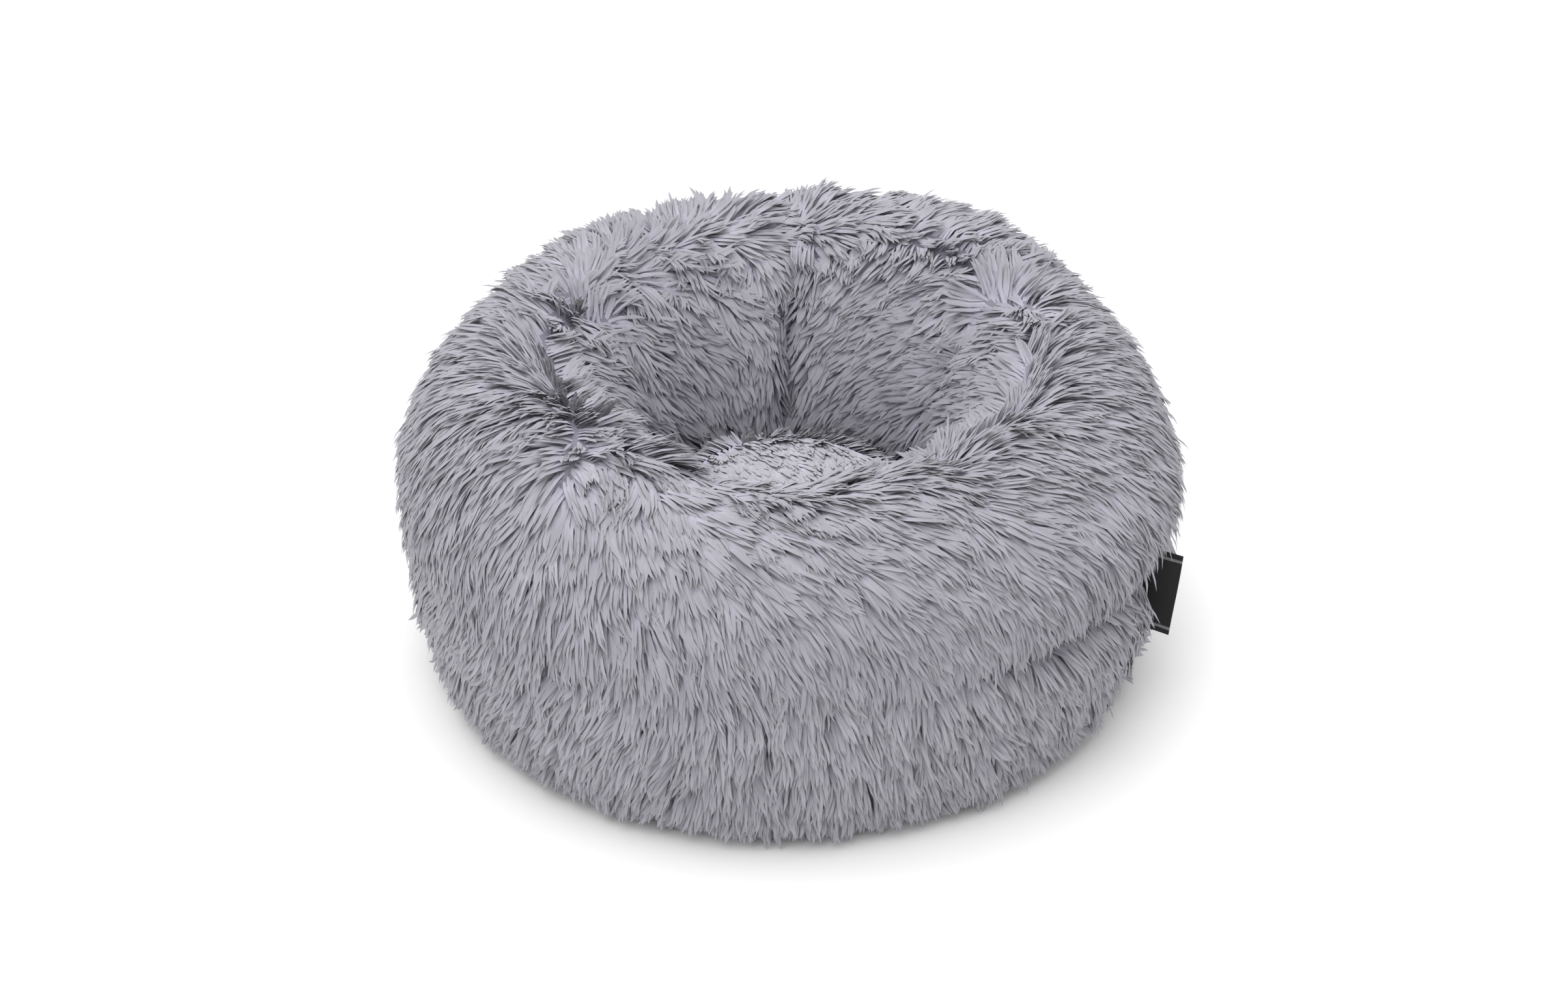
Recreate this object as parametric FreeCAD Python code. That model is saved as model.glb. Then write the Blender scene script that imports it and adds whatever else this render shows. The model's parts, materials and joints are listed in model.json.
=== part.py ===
"""Round plush pet bed: a stuffed ring in a long-pile cover, a loose seat cushion and a zipped base.

Millimetres, +Z up. The origin is the centre of the underside, which rests on the floor.
The front faces -Y. Angles about Z are azimuths, counted from +X towards +Y.
Long-pile panels are solids as thick as backing and pile together.
"""
import FreeCAD
import Part
import math
import os
from FreeCAD import Vector

# ---- driving dimensions: the ring -------------------------------------------------------------
MAX_R = 270.0            # widest radius, at the shoulder seam
BASE_R = 254.0           # radius just above the rounded bottom edge
EDGE_ROUND = 34.0        # rounding of the bottom edge
SHOULDER_Z = 144.0       # height of the shoulder seam
CREST_R = 184.0          # radius of the ring's highest line
CREST_Z = 254.0          # height of the ring's highest line
THROAT_R = 98.0          # radius of the well that holds the seat cushion
THROAT_Z = 120.0         # height where the well starts to flare
PILE = 20.0              # thickness of a long-pile panel, backing included
LINER_T = 1.0            # non-woven bag round the ring's filling
RIM_SEAMS = {"right": 303.0, "back_right": 382.0, "back_left": 450.0, "left": 517.0, "front": 588.0}
MIN_ROUND = 2.0          # least rounding left on the inside of a long-pile panel
WALL_SEAM = -23.0        # azimuth of the side seam that holds the label; the other is opposite

# ---- driving dimensions: base ------------------------------------------------------------------
BASE_T = 2.5             # base panel
PAD_T = 17.5             # foam pad on the base panel
BINDING_W = 8.0          # woven binding round the base panel
FLOOR_T = 3.0            # quilted floor of the well
DOT_R = 3.0              # anti-slip dot
DOT_T = 1.0
DOT_PITCH = 26.0
DOT_MARGIN = 6.0         # clear ring or strip between dots and any edge

# ---- driving dimensions: zip in the base -------------------------------------------------------
SLOT_HALF = 190.0        # half length of the zip slot
SLOT_HALF_W = 10.0       # half width of the zip slot
HEM_T = 2.0              # upturned hem round the slot
TAPE_Z = 9.0             # middle plane of the zip
TAPE_T = 0.6
TAPE_OVERLAP = 3.0       # tape sewn past the hem
CHAIN_HALF = 150.0       # half length of the toothed part
TOOTH_PITCH = 3.0
TOOTH_LEN = 1.7
TOOTH_H = 2.0
TOOTH_GAP = 0.7          # half gap between the two rows, where the slider's divider runs
TOOTH_W = 2.5
STOP_LEN = 4.0
STOP_H = 2.4
SLIDER_LEN = 12.0
SLIDER_PLATE = 1.0
SLIDER_WALL = 1.0
SLIDER_PLAY = 0.3        # between slider and teeth
SLIDER_SIDE_PLAY = 1.0
DIVIDER_T = 0.6
DIVIDER_LEN = 3.5
BAIL_W = 2.0
BAIL_LEN = 8.4
BAIL_BAR = 1.2
PIVOT_R = 0.6            # crossbar of the pull tab, and half its thickness
PIVOT_PLAY = 0.2
PULL_LEN = 26.0
PULL_W = 6.4
PULL_ARM = 1.5           # width of each arm beside the bail
PULL_HOLE_R = 1.8
GROOVE_PLAY = 1.5        # pad groove round the zip

# ---- driving dimensions: seat cushion ----------------------------------------------------------
CUSHION_PLAY = 1.5       # radial play in the well
CUSHION_GAP = 0.3        # under the cushion
CUSHION_TOP = 132.0      # height of the middle of the cushion
CUSHION_DROP = 5.0       # how much lower its shoulder is
CUSHION_CORNER = 24.0
CUSHION_SEAM_Z = 70.0
CUSHION_BACKING = 1.5    # smooth fabric of its lower half

# ---- driving dimensions: side label ------------------------------------------------------------
LABEL_H = 64.0
LABEL_REACH = 30.0       # from its sewn edge to its fold
LABEL_T = 0.9
LABEL_BELOW_SHOULDER = 2.0
LABEL_LEAN = 5.0         # degrees, top outwards
LABEL_ROOT = 1.5         # sewn edge, out from the panel's backing
LABEL_GAP = 0.6          # clear space round the label in the pile
LABEL_SWING = 25.0

# ---- worked out from the above -----------------------------------------------------------------
BOTTOM_ROUND = max(EDGE_ROUND, PILE + MIN_ROUND)
CUSHION_ROUND = max(CUSHION_CORNER, PILE + MIN_ROUND)
EDGE_R = BASE_R - BOTTOM_ROUND
PAD_TOP = BASE_T + PAD_T
BINDING_IN = EDGE_R - BINDING_W
FLOOR_TOP = PAD_TOP + FLOOR_T
HEM_OUT = SLOT_HALF_W + HEM_T
TAPE_OUT = HEM_OUT + TAPE_OVERLAP
TAPE_LOW = TAPE_Z - TAPE_T / 2
TOOTH_OUT = TOOTH_GAP + TOOTH_W
SLIDER_X = CHAIN_HALF - SLIDER_LEN / 2 - 1.0
CUSHION_R = THROAT_R - CUSHION_PLAY
CUSHION_BOTTOM = FLOOR_TOP + CUSHION_GAP
LABEL_ROOT_R = MAX_R - PILE + LABEL_ROOT
LABEL_TOP = SHOULDER_Z - LABEL_BELOW_SHOULDER
LABEL_MID_Z = LABEL_TOP - LABEL_H / 2
UP = Vector(0, 0, 1)
ORIGIN = Vector(0, 0, 0)


def at(r, z):
    """A point of a section drawn in the XZ plane."""
    return Vector(r, 0, z)


def line(a, b):
    return Part.makeLine(at(*a), at(*b))


def arc(a, mid, b):
    return Part.Arc(at(*a), at(*mid), at(*b)).toShape()


def quarter_ellipse(centre, half_r, half_z, side_r, side_z):
    """The quarter of an ellipse on the stated side of its centre, (+1 or -1) along R and Z."""
    cr, cz = centre
    major, minor = max(half_r, half_z), min(half_r, half_z)
    along = at(1, 0) if half_r >= half_z else at(0, 1)
    across = at(0, 1) if half_r >= half_z else at(1, 0)
    middle = at(cr, cz)
    ellipse = Part.Ellipse(middle + along * major, middle + across * minor, middle)
    start = middle + at(half_r * side_r, 0)
    end = middle + at(0, half_z * side_z)
    t0, t1 = ellipse.parameter(start), ellipse.parameter(end)
    turn = 2 * math.pi
    if (t1 - t0) % turn > math.pi:
        t0, t1 = t1, t0
    return Part.ArcOfEllipse(ellipse, t0, t0 + (t1 - t0) % turn).toShape()


def revolve(edges, start=0.0, sweep=360.0):
    """Revolve a closed section about Z, from azimuth start over sweep degrees."""
    wire = Part.Wire(Part.__sortEdges__(edges))
    solid = Part.Face(wire).revolve(ORIGIN, UP, sweep)
    solid.rotate(ORIGIN, UP, start)
    return solid


def box(x0, x1, y0, y1, z0, z1):
    return Part.makeBox(x1 - x0, y1 - y0, z1 - z0, Vector(x0, y0, z0))


def disc(radius, z0, z1):
    return Part.makeCylinder(radius, z1 - z0, Vector(0, 0, z0))


def as_solid(shape):
    """The single solid of a boolean result, checked."""
    shape = shape.removeSplitter()
    if len(shape.Solids) != 1:
        raise ValueError("expected one solid, got %d" % len(shape.Solids))
    return shape.Solids[0]


# ---- section of the ring -----------------------------------------------------------------------

def wall_edges(inset):
    """Bottom rounding and bulging side wall, inset from the pile's outer surface."""
    k = math.sqrt(0.5)
    round_r = BOTTOM_ROUND - inset
    low = (EDGE_R, inset)
    low_mid = (EDGE_R + round_r * k, BOTTOM_ROUND - round_r * k)
    waist = (BASE_R - inset, BOTTOM_ROUND)
    bulge = (BASE_R - inset + (MAX_R - BASE_R) * k, (BOTTOM_ROUND + SHOULDER_Z) / 2)
    shoulder = (MAX_R - inset, SHOULDER_Z)
    return [arc(low, low_mid, waist), arc(waist, bulge, shoulder)]


def rim_edges(inset):
    """Over the ring from the shoulder seam to the well, inset from the pile's outer surface."""
    outer = quarter_ellipse((CREST_R, SHOULDER_Z), MAX_R - CREST_R - inset,
                            CREST_Z - SHOULDER_Z - inset, 1, 1)
    inner = quarter_ellipse((CREST_R, THROAT_Z), CREST_R - THROAT_R - inset,
                            CREST_Z - THROAT_Z - inset, -1, 1)
    return [outer, inner]


def ring_section(inset):
    """Closed section of the stuffed ring, standing on the pad and stepped where pad and pile differ."""
    low = PAD_TOP + inset - PILE
    step = 0.0 if abs(low - inset) < 1e-6 else math.copysign(inset - PILE, low - inset)
    corners = [(THROAT_R + inset, THROAT_Z), (THROAT_R + inset, low), (EDGE_R + step, low),
               (EDGE_R + step, inset), (EDGE_R, inset)]
    sides = [line(a, b) for a, b in zip(corners, corners[1:]) if math.dist(a, b) > 1e-6]
    return wall_edges(inset) + rim_edges(inset) + sides


def bolster():
    """Loose fibre filling of the ring and the non-woven bag that holds it."""
    bag = revolve(ring_section(PILE))
    fill = revolve(ring_section(PILE + LINER_T))
    return {"bolster_fill": fill, "bolster_liner": as_solid(bag.cut(fill))}


def rim_panels():
    """Five long-pile panels over the top of the ring, joined at radial seams."""
    section = rim_edges(0) + rim_edges(PILE)
    section.append(line((MAX_R, SHOULDER_Z), (MAX_R - PILE, SHOULDER_Z)))
    section.append(line((THROAT_R, THROAT_Z), (THROAT_R + PILE, THROAT_Z)))
    names = list(RIM_SEAMS)
    starts = [RIM_SEAMS[name] for name in names]
    ends = starts[1:] + [starts[0] + 360.0]
    return {"rim_panel_" + name: revolve(section, start, end - start)
            for name, start, end in zip(names, starts, ends)}


def to_label(shape):
    """Carry a shape drawn at azimuth 0 to the side seam and lean it with the wall."""
    centre = Vector(LABEL_ROOT_R, 0, LABEL_MID_Z)
    shape.rotate(centre, Vector(0, 1, 0), LABEL_LEAN)
    shape.rotate(ORIGIN, UP, WALL_SEAM)
    return shape


def label_pocket():
    """Space in the pile where the label swings."""
    near = LABEL_T / 2 + LABEL_GAP
    far_r = LABEL_REACH + LABEL_GAP
    far = near + far_r * math.tan(math.radians(LABEL_SWING + 4.0))
    z0 = LABEL_TOP - LABEL_H - LABEL_GAP
    corners = [(-LABEL_GAP, -near), (0, -near), (far_r, -far), (far_r, far), (0, near), (-LABEL_GAP, near)]
    points = [Vector(LABEL_ROOT_R + r, t, z0) for r, t in corners]
    face = Part.Face(Part.makePolygon(points + points[:1]))
    return to_label(face.extrude(Vector(0, 0, LABEL_H + 2 * LABEL_GAP)))


def side_label():
    """Folded woven label, sewn into the side seam by its inner edge."""
    half = LABEL_T / 2
    flag = box(LABEL_ROOT_R, LABEL_ROOT_R + LABEL_REACH, -half, half, LABEL_TOP - LABEL_H, LABEL_TOP)
    return {"side_label": to_label(flag)}


def wall_panels():
    """Front and back long-pile side panels, from the base binding up to the shoulder seam."""
    section = wall_edges(0) + wall_edges(PILE)
    section.append(line((MAX_R, SHOULDER_Z), (MAX_R - PILE, SHOULDER_Z)))
    section.append(line((EDGE_R, 0), (EDGE_R, PILE)))
    pocket = label_pocket()
    back = revolve(section, WALL_SEAM, 180.0)
    front = revolve(section, WALL_SEAM + 180.0, 180.0)
    return {"wall_panel_front": as_solid(front.cut(pocket)), "wall_panel_back": as_solid(back.cut(pocket))}


def well():
    """Long-pile tube that lines the well, and its quilted floor."""
    tube = disc(THROAT_R + PILE, PAD_TOP, THROAT_Z).cut(disc(THROAT_R, PAD_TOP, THROAT_Z))
    return {"inner_wall_panel": as_solid(tube), "well_floor_panel": disc(THROAT_R, PAD_TOP, FLOOR_TOP)}


# ---- base --------------------------------------------------------------------------------------

def dot_places():
    """Square grid of dots over the base panel, clear of its edge and of the zip."""
    reach = BINDING_IN - DOT_R - DOT_MARGIN
    keep_off = TAPE_OUT + DOT_R + DOT_MARGIN
    count = int(reach / DOT_PITCH) + 1
    steps = [(i + 0.5) * DOT_PITCH for i in range(-count, count)]
    return [(x, y) for x in steps for y in steps if math.hypot(x, y) <= reach and abs(y) >= keep_off]


def base():
    """Two base panels joined by the zip, their hems, dots, binding and the foam pad above."""
    dots = Part.makeCompound([Part.makeCylinder(DOT_R, DOT_T, Vector(x, y, 0)) for x, y in dot_places()])
    slot = box(-SLOT_HALF, SLOT_HALF, -SLOT_HALF_W, SLOT_HALF_W, 0, TAPE_LOW)
    sheet = disc(BINDING_IN, 0, BASE_T).fuse(
        box(-SLOT_HALF - HEM_T, SLOT_HALF + HEM_T, -HEM_OUT, HEM_OUT, BASE_T, TAPE_LOW))
    sheet = sheet.cut(slot).cut(dots)
    front_half = box(-MAX_R, MAX_R, -MAX_R, 0, 0, PAD_TOP)
    back_half = box(-MAX_R, MAX_R, 0, MAX_R, 0, PAD_TOP)
    groove = box(-SLOT_HALF - HEM_T - GROOVE_PLAY, SLOT_HALF + HEM_T + GROOVE_PLAY,
                 -TAPE_OUT - GROOVE_PLAY, TAPE_OUT + GROOVE_PLAY, BASE_T, slider_top() + GROOVE_PLAY)
    return {
        "base_panel_front": as_solid(sheet.common(front_half)),
        "base_panel_back": as_solid(sheet.common(back_half)),
        "anti_slip_dots": dots,
        "base_binding": as_solid(disc(EDGE_R, 0, BASE_T).cut(disc(BINDING_IN, 0, BASE_T))),
        "base_pad": as_solid(disc(EDGE_R, BASE_T, PAD_TOP).cut(groove)),
    }


# ---- zip ---------------------------------------------------------------------------------------

def slider_half_height():
    return TOOTH_H / 2 + SLIDER_PLAY + SLIDER_PLATE


def slider_top():
    return TAPE_Z + slider_half_height()


def pivot_z():
    """Height of the pull tab's crossbar, just under the slider's lower plate."""
    return TAPE_Z - slider_half_height() - PIVOT_PLAY - PIVOT_R


def zip_chain():
    """Tapes, two rows of teeth and the stops, one side for each base panel."""
    reach = SLOT_HALF + HEM_T
    nodes = {}
    count = int(2 * CHAIN_HALF / TOOTH_PITCH)
    for name, side, shift in (("front", -1, 0.25), ("back", 1, 0.75)):
        inner, outer = sorted((side * TOOTH_OUT, side * TAPE_OUT))
        nodes["zip_tape_" + name] = box(-reach, reach, inner, outer, TAPE_LOW, TAPE_LOW + TAPE_T)
        y0, y1 = sorted((side * TOOTH_GAP, side * TOOTH_OUT))
        teeth = []
        for i in range(count):
            x = -CHAIN_HALF + (i + shift) * TOOTH_PITCH
            teeth.append(box(x - TOOTH_LEN / 2, x + TOOTH_LEN / 2, y0, y1,
                             TAPE_Z - TOOTH_H / 2, TAPE_Z + TOOTH_H / 2))
        nodes["zip_teeth_" + name] = Part.makeCompound(teeth)
    near, far = CHAIN_HALF + TOOTH_PITCH, CHAIN_HALF + TOOTH_PITCH + STOP_LEN
    z0, z1 = TAPE_Z - STOP_H / 2, TAPE_Z + STOP_H / 2
    nodes["zip_stops"] = Part.makeCompound([
        box(near, far, TOOTH_GAP, TOOTH_OUT, z0, z1),
        box(near, far, -TOOTH_OUT, -TOOTH_GAP, z0, z1),
        box(-far, -near, -TOOTH_OUT, TOOTH_OUT, z0, z1)])
    return nodes


def zip_slider():
    """Slider body: two plates, side walls with a slit for the tapes, a divider and a bail below."""
    half_l = SLIDER_LEN / 2
    half_w = TOOTH_OUT + SLIDER_SIDE_PLAY + SLIDER_WALL
    inside_w = half_w - SLIDER_WALL
    half_h = slider_half_height()
    inside_h = half_h - SLIDER_PLATE
    body = box(-half_l, half_l, -half_w, half_w, -half_h, half_h)
    body = body.cut(box(-half_l, half_l, -inside_w, inside_w, -inside_h, inside_h))
    slit = TAPE_T / 2 + SLIDER_PLAY
    body = body.cut(box(-half_l, half_l, -half_w, half_w, -slit, slit))
    body = body.fuse(box(half_l - DIVIDER_LEN, half_l, -DIVIDER_T / 2, DIVIDER_T / 2, -half_h, half_h))
    opening = 2 * (PIVOT_R + PIVOT_PLAY)
    bail = box(-BAIL_LEN / 2, BAIL_LEN / 2, -BAIL_W / 2, BAIL_W / 2, -half_h - opening - BAIL_BAR, -half_h)
    bail = bail.cut(box(-BAIL_LEN / 2 + BAIL_BAR, BAIL_LEN / 2 - BAIL_BAR, -BAIL_W / 2, BAIL_W / 2,
                        -half_h - opening, -half_h))
    slider = as_solid(body.fuse(bail))
    slider.translate(Vector(SLIDER_X, 0, TAPE_Z))
    return {"zip_slider": slider}


def zip_pull():
    """Pull tab, lying along the zip: crossbar through the bail, two arms and a drilled tongue."""
    half_w = PULL_W / 2
    opening = 2 * (PIVOT_R + PIVOT_PLAY)
    root = math.hypot(BAIL_LEN / 2, opening / 2 + BAIL_BAR) + 2 * PIVOT_PLAY
    tongue = box(-PULL_LEN, 0, -half_w, half_w, -PIVOT_R, PIVOT_R)
    tongue = tongue.cut(box(-root, 0, -half_w + PULL_ARM, half_w - PULL_ARM, -PIVOT_R, PIVOT_R))
    tongue = tongue.fuse(Part.makeCylinder(PIVOT_R, PULL_W, Vector(0, -half_w, 0), Vector(0, 1, 0)))
    hole = Part.makeCylinder(PULL_HOLE_R, 4 * PIVOT_R, Vector(half_w - PULL_LEN, 0, -2 * PIVOT_R))
    pull = as_solid(tongue.cut(hole))
    pull.translate(Vector(SLIDER_X, 0, pivot_z()))
    return {"zip_pull": pull}


# ---- seat cushion ------------------------------------------------------------------------------

def cushion_top_edges(inset):
    """Domed top and rounded shoulder, down to the cushion's seam."""
    flat_r = CUSHION_R - CUSHION_ROUND
    shoulder_z = CUSHION_TOP - CUSHION_DROP - inset
    crown = (0, CUSHION_TOP - inset)
    dome_mid = (flat_r / 2, CUSHION_TOP - inset - CUSHION_DROP / 4)
    return [arc(crown, dome_mid, (flat_r, shoulder_z)),
            quarter_ellipse((flat_r, CUSHION_SEAM_Z), CUSHION_ROUND - inset,
                            shoulder_z - CUSHION_SEAM_Z, 1, 1)]


def cushion_low_edges(inset):
    """Rounded lower corner and flat bottom, from the seam to the middle."""
    flat_r = CUSHION_R - CUSHION_ROUND
    low = CUSHION_BOTTOM + inset
    return [quarter_ellipse((flat_r, CUSHION_SEAM_Z), CUSHION_ROUND - inset,
                            CUSHION_SEAM_Z - low, 1, -1),
            line((flat_r, low), (0, low))]


def cushion():
    """Loose round seat cushion: long-pile top, smooth underside and fibre filling."""
    seam_out = (CUSHION_R, CUSHION_SEAM_Z)
    seam_top_in = (CUSHION_R - PILE, CUSHION_SEAM_Z)
    seam_low_in = (CUSHION_R - CUSHION_BACKING, CUSHION_SEAM_Z)
    top = cushion_top_edges(0) + cushion_top_edges(PILE)
    top.append(line((0, CUSHION_TOP), (0, CUSHION_TOP - PILE)))
    top.append(line(seam_out, seam_top_in))
    low = cushion_low_edges(0) + cushion_low_edges(CUSHION_BACKING)
    low.append(line((0, CUSHION_BOTTOM), (0, CUSHION_BOTTOM + CUSHION_BACKING)))
    low.append(line(seam_out, seam_low_in))
    fill = cushion_top_edges(PILE) + cushion_low_edges(CUSHION_BACKING)
    fill.append(line(seam_top_in, seam_low_in))
    fill.append(line((0, CUSHION_TOP - PILE), (0, CUSHION_BOTTOM + CUSHION_BACKING)))
    return {"cushion_top_panel": revolve(top), "cushion_base_panel": revolve(low),
            "cushion_fill": revolve(fill)}


def main():
    os.makedirs("parts", exist_ok=True)
    nodes = {}
    for group in (bolster, rim_panels, wall_panels, well, base, zip_chain, zip_slider, zip_pull,
                  cushion, side_label):
        nodes.update(group())
    for name, shape in nodes.items():
        if not shape.isValid():
            raise ValueError(name + " is not a valid solid")
        shape.exportStep("parts/%s.step" % name)
        size = shape.BoundBox
        print("%-20s %3d solid(s) %10.1f cm3  z %6.1f to %6.1f  r %5.1f" % (
            name, len(shape.Solids), shape.Volume / 1000, size.ZMin, size.ZMax, size.XMax))


main()
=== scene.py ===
"""Looks of a round plush pet bed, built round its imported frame.

Metres, +Z up, and the front faces -Y. Azimuths are counted from +X towards +Y. A place on the ring is
an azimuth and a station: 0 at the base binding, 1 at the shoulder seam, 2 at the crest, 3 at the throat
of the well and 4 at its floor. On the seat cushion, station 0 is its seam, 1 its shoulder and 2 its
middle. Depth is measured inwards from the outer surface of the pile.
"""

import json
import math

import bmesh
import bpy
import numpy as np
from bpy.props import FloatProperty, FloatVectorProperty, PointerProperty
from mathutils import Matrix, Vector


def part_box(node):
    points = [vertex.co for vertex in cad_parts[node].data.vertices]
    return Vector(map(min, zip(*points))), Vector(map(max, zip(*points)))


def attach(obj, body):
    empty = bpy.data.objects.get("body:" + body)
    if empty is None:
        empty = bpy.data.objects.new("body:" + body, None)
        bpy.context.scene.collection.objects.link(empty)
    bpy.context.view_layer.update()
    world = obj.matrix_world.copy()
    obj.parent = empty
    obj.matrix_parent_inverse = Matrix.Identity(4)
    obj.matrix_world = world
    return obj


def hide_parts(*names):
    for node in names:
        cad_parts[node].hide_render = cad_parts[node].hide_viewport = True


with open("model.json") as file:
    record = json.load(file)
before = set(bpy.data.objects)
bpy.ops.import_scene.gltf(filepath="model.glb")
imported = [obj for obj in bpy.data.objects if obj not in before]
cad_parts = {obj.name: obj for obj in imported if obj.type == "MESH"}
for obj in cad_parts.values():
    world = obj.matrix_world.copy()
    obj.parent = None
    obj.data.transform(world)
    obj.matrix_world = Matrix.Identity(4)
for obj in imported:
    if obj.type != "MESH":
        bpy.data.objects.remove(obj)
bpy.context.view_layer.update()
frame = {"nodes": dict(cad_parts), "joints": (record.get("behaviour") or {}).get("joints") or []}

bl_info = {
    "name": "Round Plush Pet Bed",
    "version": (1, 0, 0),
    "blender": (4, 5, 0),
    "location": "3D View > Sidebar > Pet Bed",
    "description": "Adds the pile, cloth, zip and label of a round plush pet bed to its frame",
    "category": "Add Mesh",
}

# ---- sizes read from the frame -----------------------------------------------------------------


def low(node):
    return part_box(node)[0]


def high(node):
    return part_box(node)[1]


MAX_R = high("wall_panel_back").y
SHOULDER_Z = high("wall_panel_back").z
CREST_Z = high("rim_panel_front").z
THROAT_Z = high("inner_wall_panel").z
THROAT_R = high("well_floor_panel").x
PILE = high("inner_wall_panel").x - THROAT_R
PAD_TOP = low("inner_wall_panel").z
FLOOR_TOP = high("well_floor_panel").z
EDGE_R = high("base_binding").x
BINDING_IN = high("base_panel_back").y
BINDING_T = high("base_binding").z
CUSHION_R = high("cushion_top_panel").x
CUSHION_TOP = high("cushion_top_panel").z
CUSHION_SEAM = low("cushion_top_panel").z
CUSHION_LOW = low("cushion_base_panel").z
TAPE_LOW = low("zip_tape_back").z
TAPE_HIGH = high("zip_tape_back").z
TAPE_IN = low("zip_tape_back").y
TAPE_OUT = high("zip_tape_back").y
TAPE_HALF = high("zip_tape_back").x
SLIDER_TOP = high("zip_slider").z
DOT_T = high("anti_slip_dots").z
SWING = next(joint for joint in frame["joints"] if joint["name"] == "label_swing")

# ---- driving values of the frame that its boxes don't give ---------------------------------------
CREST_R = 0.184            # radius of the ring's highest line
WAIST_R = 0.254            # radius where the bottom rounding ends
BOTTOM_ROUND = 0.034       # height of the bottom rounding
WALL_SEAM = -23.0          # azimuth in degrees of the side seam that holds the label
LABEL_REACH = 0.030        # how far the folded label stands out
LABEL_H = 0.064
SLOT_HALF = 0.190          # half length of the zip slot
SLOT_HALF_W = 0.010        # half width of the zip slot
DOT_R = 0.003
DOT_PITCH = 0.026
DOT_MARGIN = 0.006         # dots stay this clear of the binding and of the zip
CUSHION_ROUND = 0.024      # width of the seat cushion's rounded edge
CUSHION_DROP = 0.005       # how far the cushion's shoulder is below its middle
# Azimuth in degrees at which each rim panel starts.
RIM_SEAMS = {"right": 303.0, "back_right": 382.0, "back_left": 450.0, "left": 517.0, "front": 588.0}

# ---- depths and clearances -----------------------------------------------------------------------
PILE_DEPTH = 0.62 * PILE         # from the outer surface of the ring's pile down to its cover
CUSHION_DEPTH = 0.2 * PILE       # the same on the seat cushion
HEM_DEPTH = BINDING_T + 0.0004   # the same at the ring's bottom hem
PILE_TOP = CREST_Z + 0.008       # locks are pressed down above this height
PRESSED = 0.6                    # share of the height above PILE_TOP that is pressed away
LOWEST_LOCK = 0.0004             # no lock reaches below this height
GAP = 0.0002                     # between pieces that would otherwise share a surface

# ---- the sections' stations ----------------------------------------------------------------------
WAIST_STATION = 0.35     # where the bottom rounding ends
ARC_STEPS = 60           # points on each stretch of a section
STEP = 1e-3              # radians or stations, for slopes taken by difference

# ---- a lock of pile ------------------------------------------------------------------------------
LEVELS = np.array([0.0, 0.38, 0.80, 1.0])    # shares of a lock's length where it has a ring or its tip
GIRTH = np.array([0.75, 1.0, 0.78])          # width at each ring, as a share of the lock's width
SIDES = 3
FLATNESS = 0.6           # height of a ring's triangle, as a share of half its width
ROOT_SINK = 0.0015       # how far below the cover a lock starts
MOST_SETTLED = 1.62      # the flattest that a lock lies, in radians from the cover's normal

# ---- how locks are spread and grouped ------------------------------------------------------------
SPREAD_ALONG = 0.7548776662466927    # steps of the golden sequence in two dimensions
SPREAD_ROUND = 0.5698402909980532
SPREAD_SHIFT = 7919                  # places of the sequence between one panel and the next
TUFT_DRAWS = 4096                    # sets of random numbers that the tufts take turns at

# ---- places round the ring: azimuth and half width in degrees, and an amount ---------------------
HUMPS = ((224.0, 15.0, 0.8), (48.0, 24.0, 1.4), (113.0, 14.0, 0.1))      # heights, in front sags
TANGLES = ((150.0, 40.0, 2.8), (20.0, 12.0, 1.5), (228.0, 14.0, 1.5))    # extra turning of the tufts
INNER_SWEEPS = ((52.0, 42.0, 1.1), (122.0, 32.0, -0.6))                  # sideways lay inside the ring
# Azimuth, station, reach and strength of each whorl.
WHORLS = ((20.0, 2.05, 0.026, 1.1), (156.0, 2.35, 0.026, 0.9), (228.0, 1.75, 0.030, 0.8),
          (303.0, 1.7, 0.028, 0.6), (88.0, 2.6, 0.018, 0.7), (352.0, 2.6, 0.018, 0.7))


# ---- small mathematics ---------------------------------------------------------------------------

def unit(vectors):
    """Each vector divided by its length."""
    return vectors / np.maximum(np.linalg.norm(vectors, axis=-1, keepdims=True), 1e-12)


def ease(x, start, end):
    """0 before start, 1 after end, and the cubic 3x^2 - 2x^3 between them."""
    t = np.clip((x - start) / (end - start), 0.0, 1.0)
    return t * t * (3.0 - 2.0 * t)


def bump(x, middle, half):
    """A bell curve: 1 at the middle and 1/e at half to either side of it."""
    return np.exp(-((x - middle) / half) ** 2)


def turn_between(azimuth, middle):
    """Signed difference of two azimuths in degrees, from -180 to 180."""
    return (np.degrees(azimuth) - middle + 180.0) % 360.0 - 180.0


def around(azimuth, places, start=0.0, scale=1.0):
    """start plus a bell curve at each (middle, half width, amount) of places, amount times scale high."""
    total = start
    for middle, half, amount in places:
        total = total + amount * scale * bump(turn_between(azimuth, middle), 0.0, half)
    return total


def everywhere(value):
    """A function of azimuth and station that gives one value at every place."""
    return lambda azimuth, station: np.full(np.shape(station), value)


def drift(points, size, seed):
    """Smooth noise of about -1 to 1: the mean of eight sine waves whose length is about size."""
    rng = np.random.default_rng(seed)
    waves = unit(rng.normal(size=(8, 3))) * (2.0 * math.pi / size) * rng.uniform(0.6, 1.5, (8, 1))
    return np.sin(points @ waves.T + rng.uniform(0.0, 2.0 * math.pi, 8)).sum(-1) / 3.0


# ---- sections and the surfaces turned from them --------------------------------------------------

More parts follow.
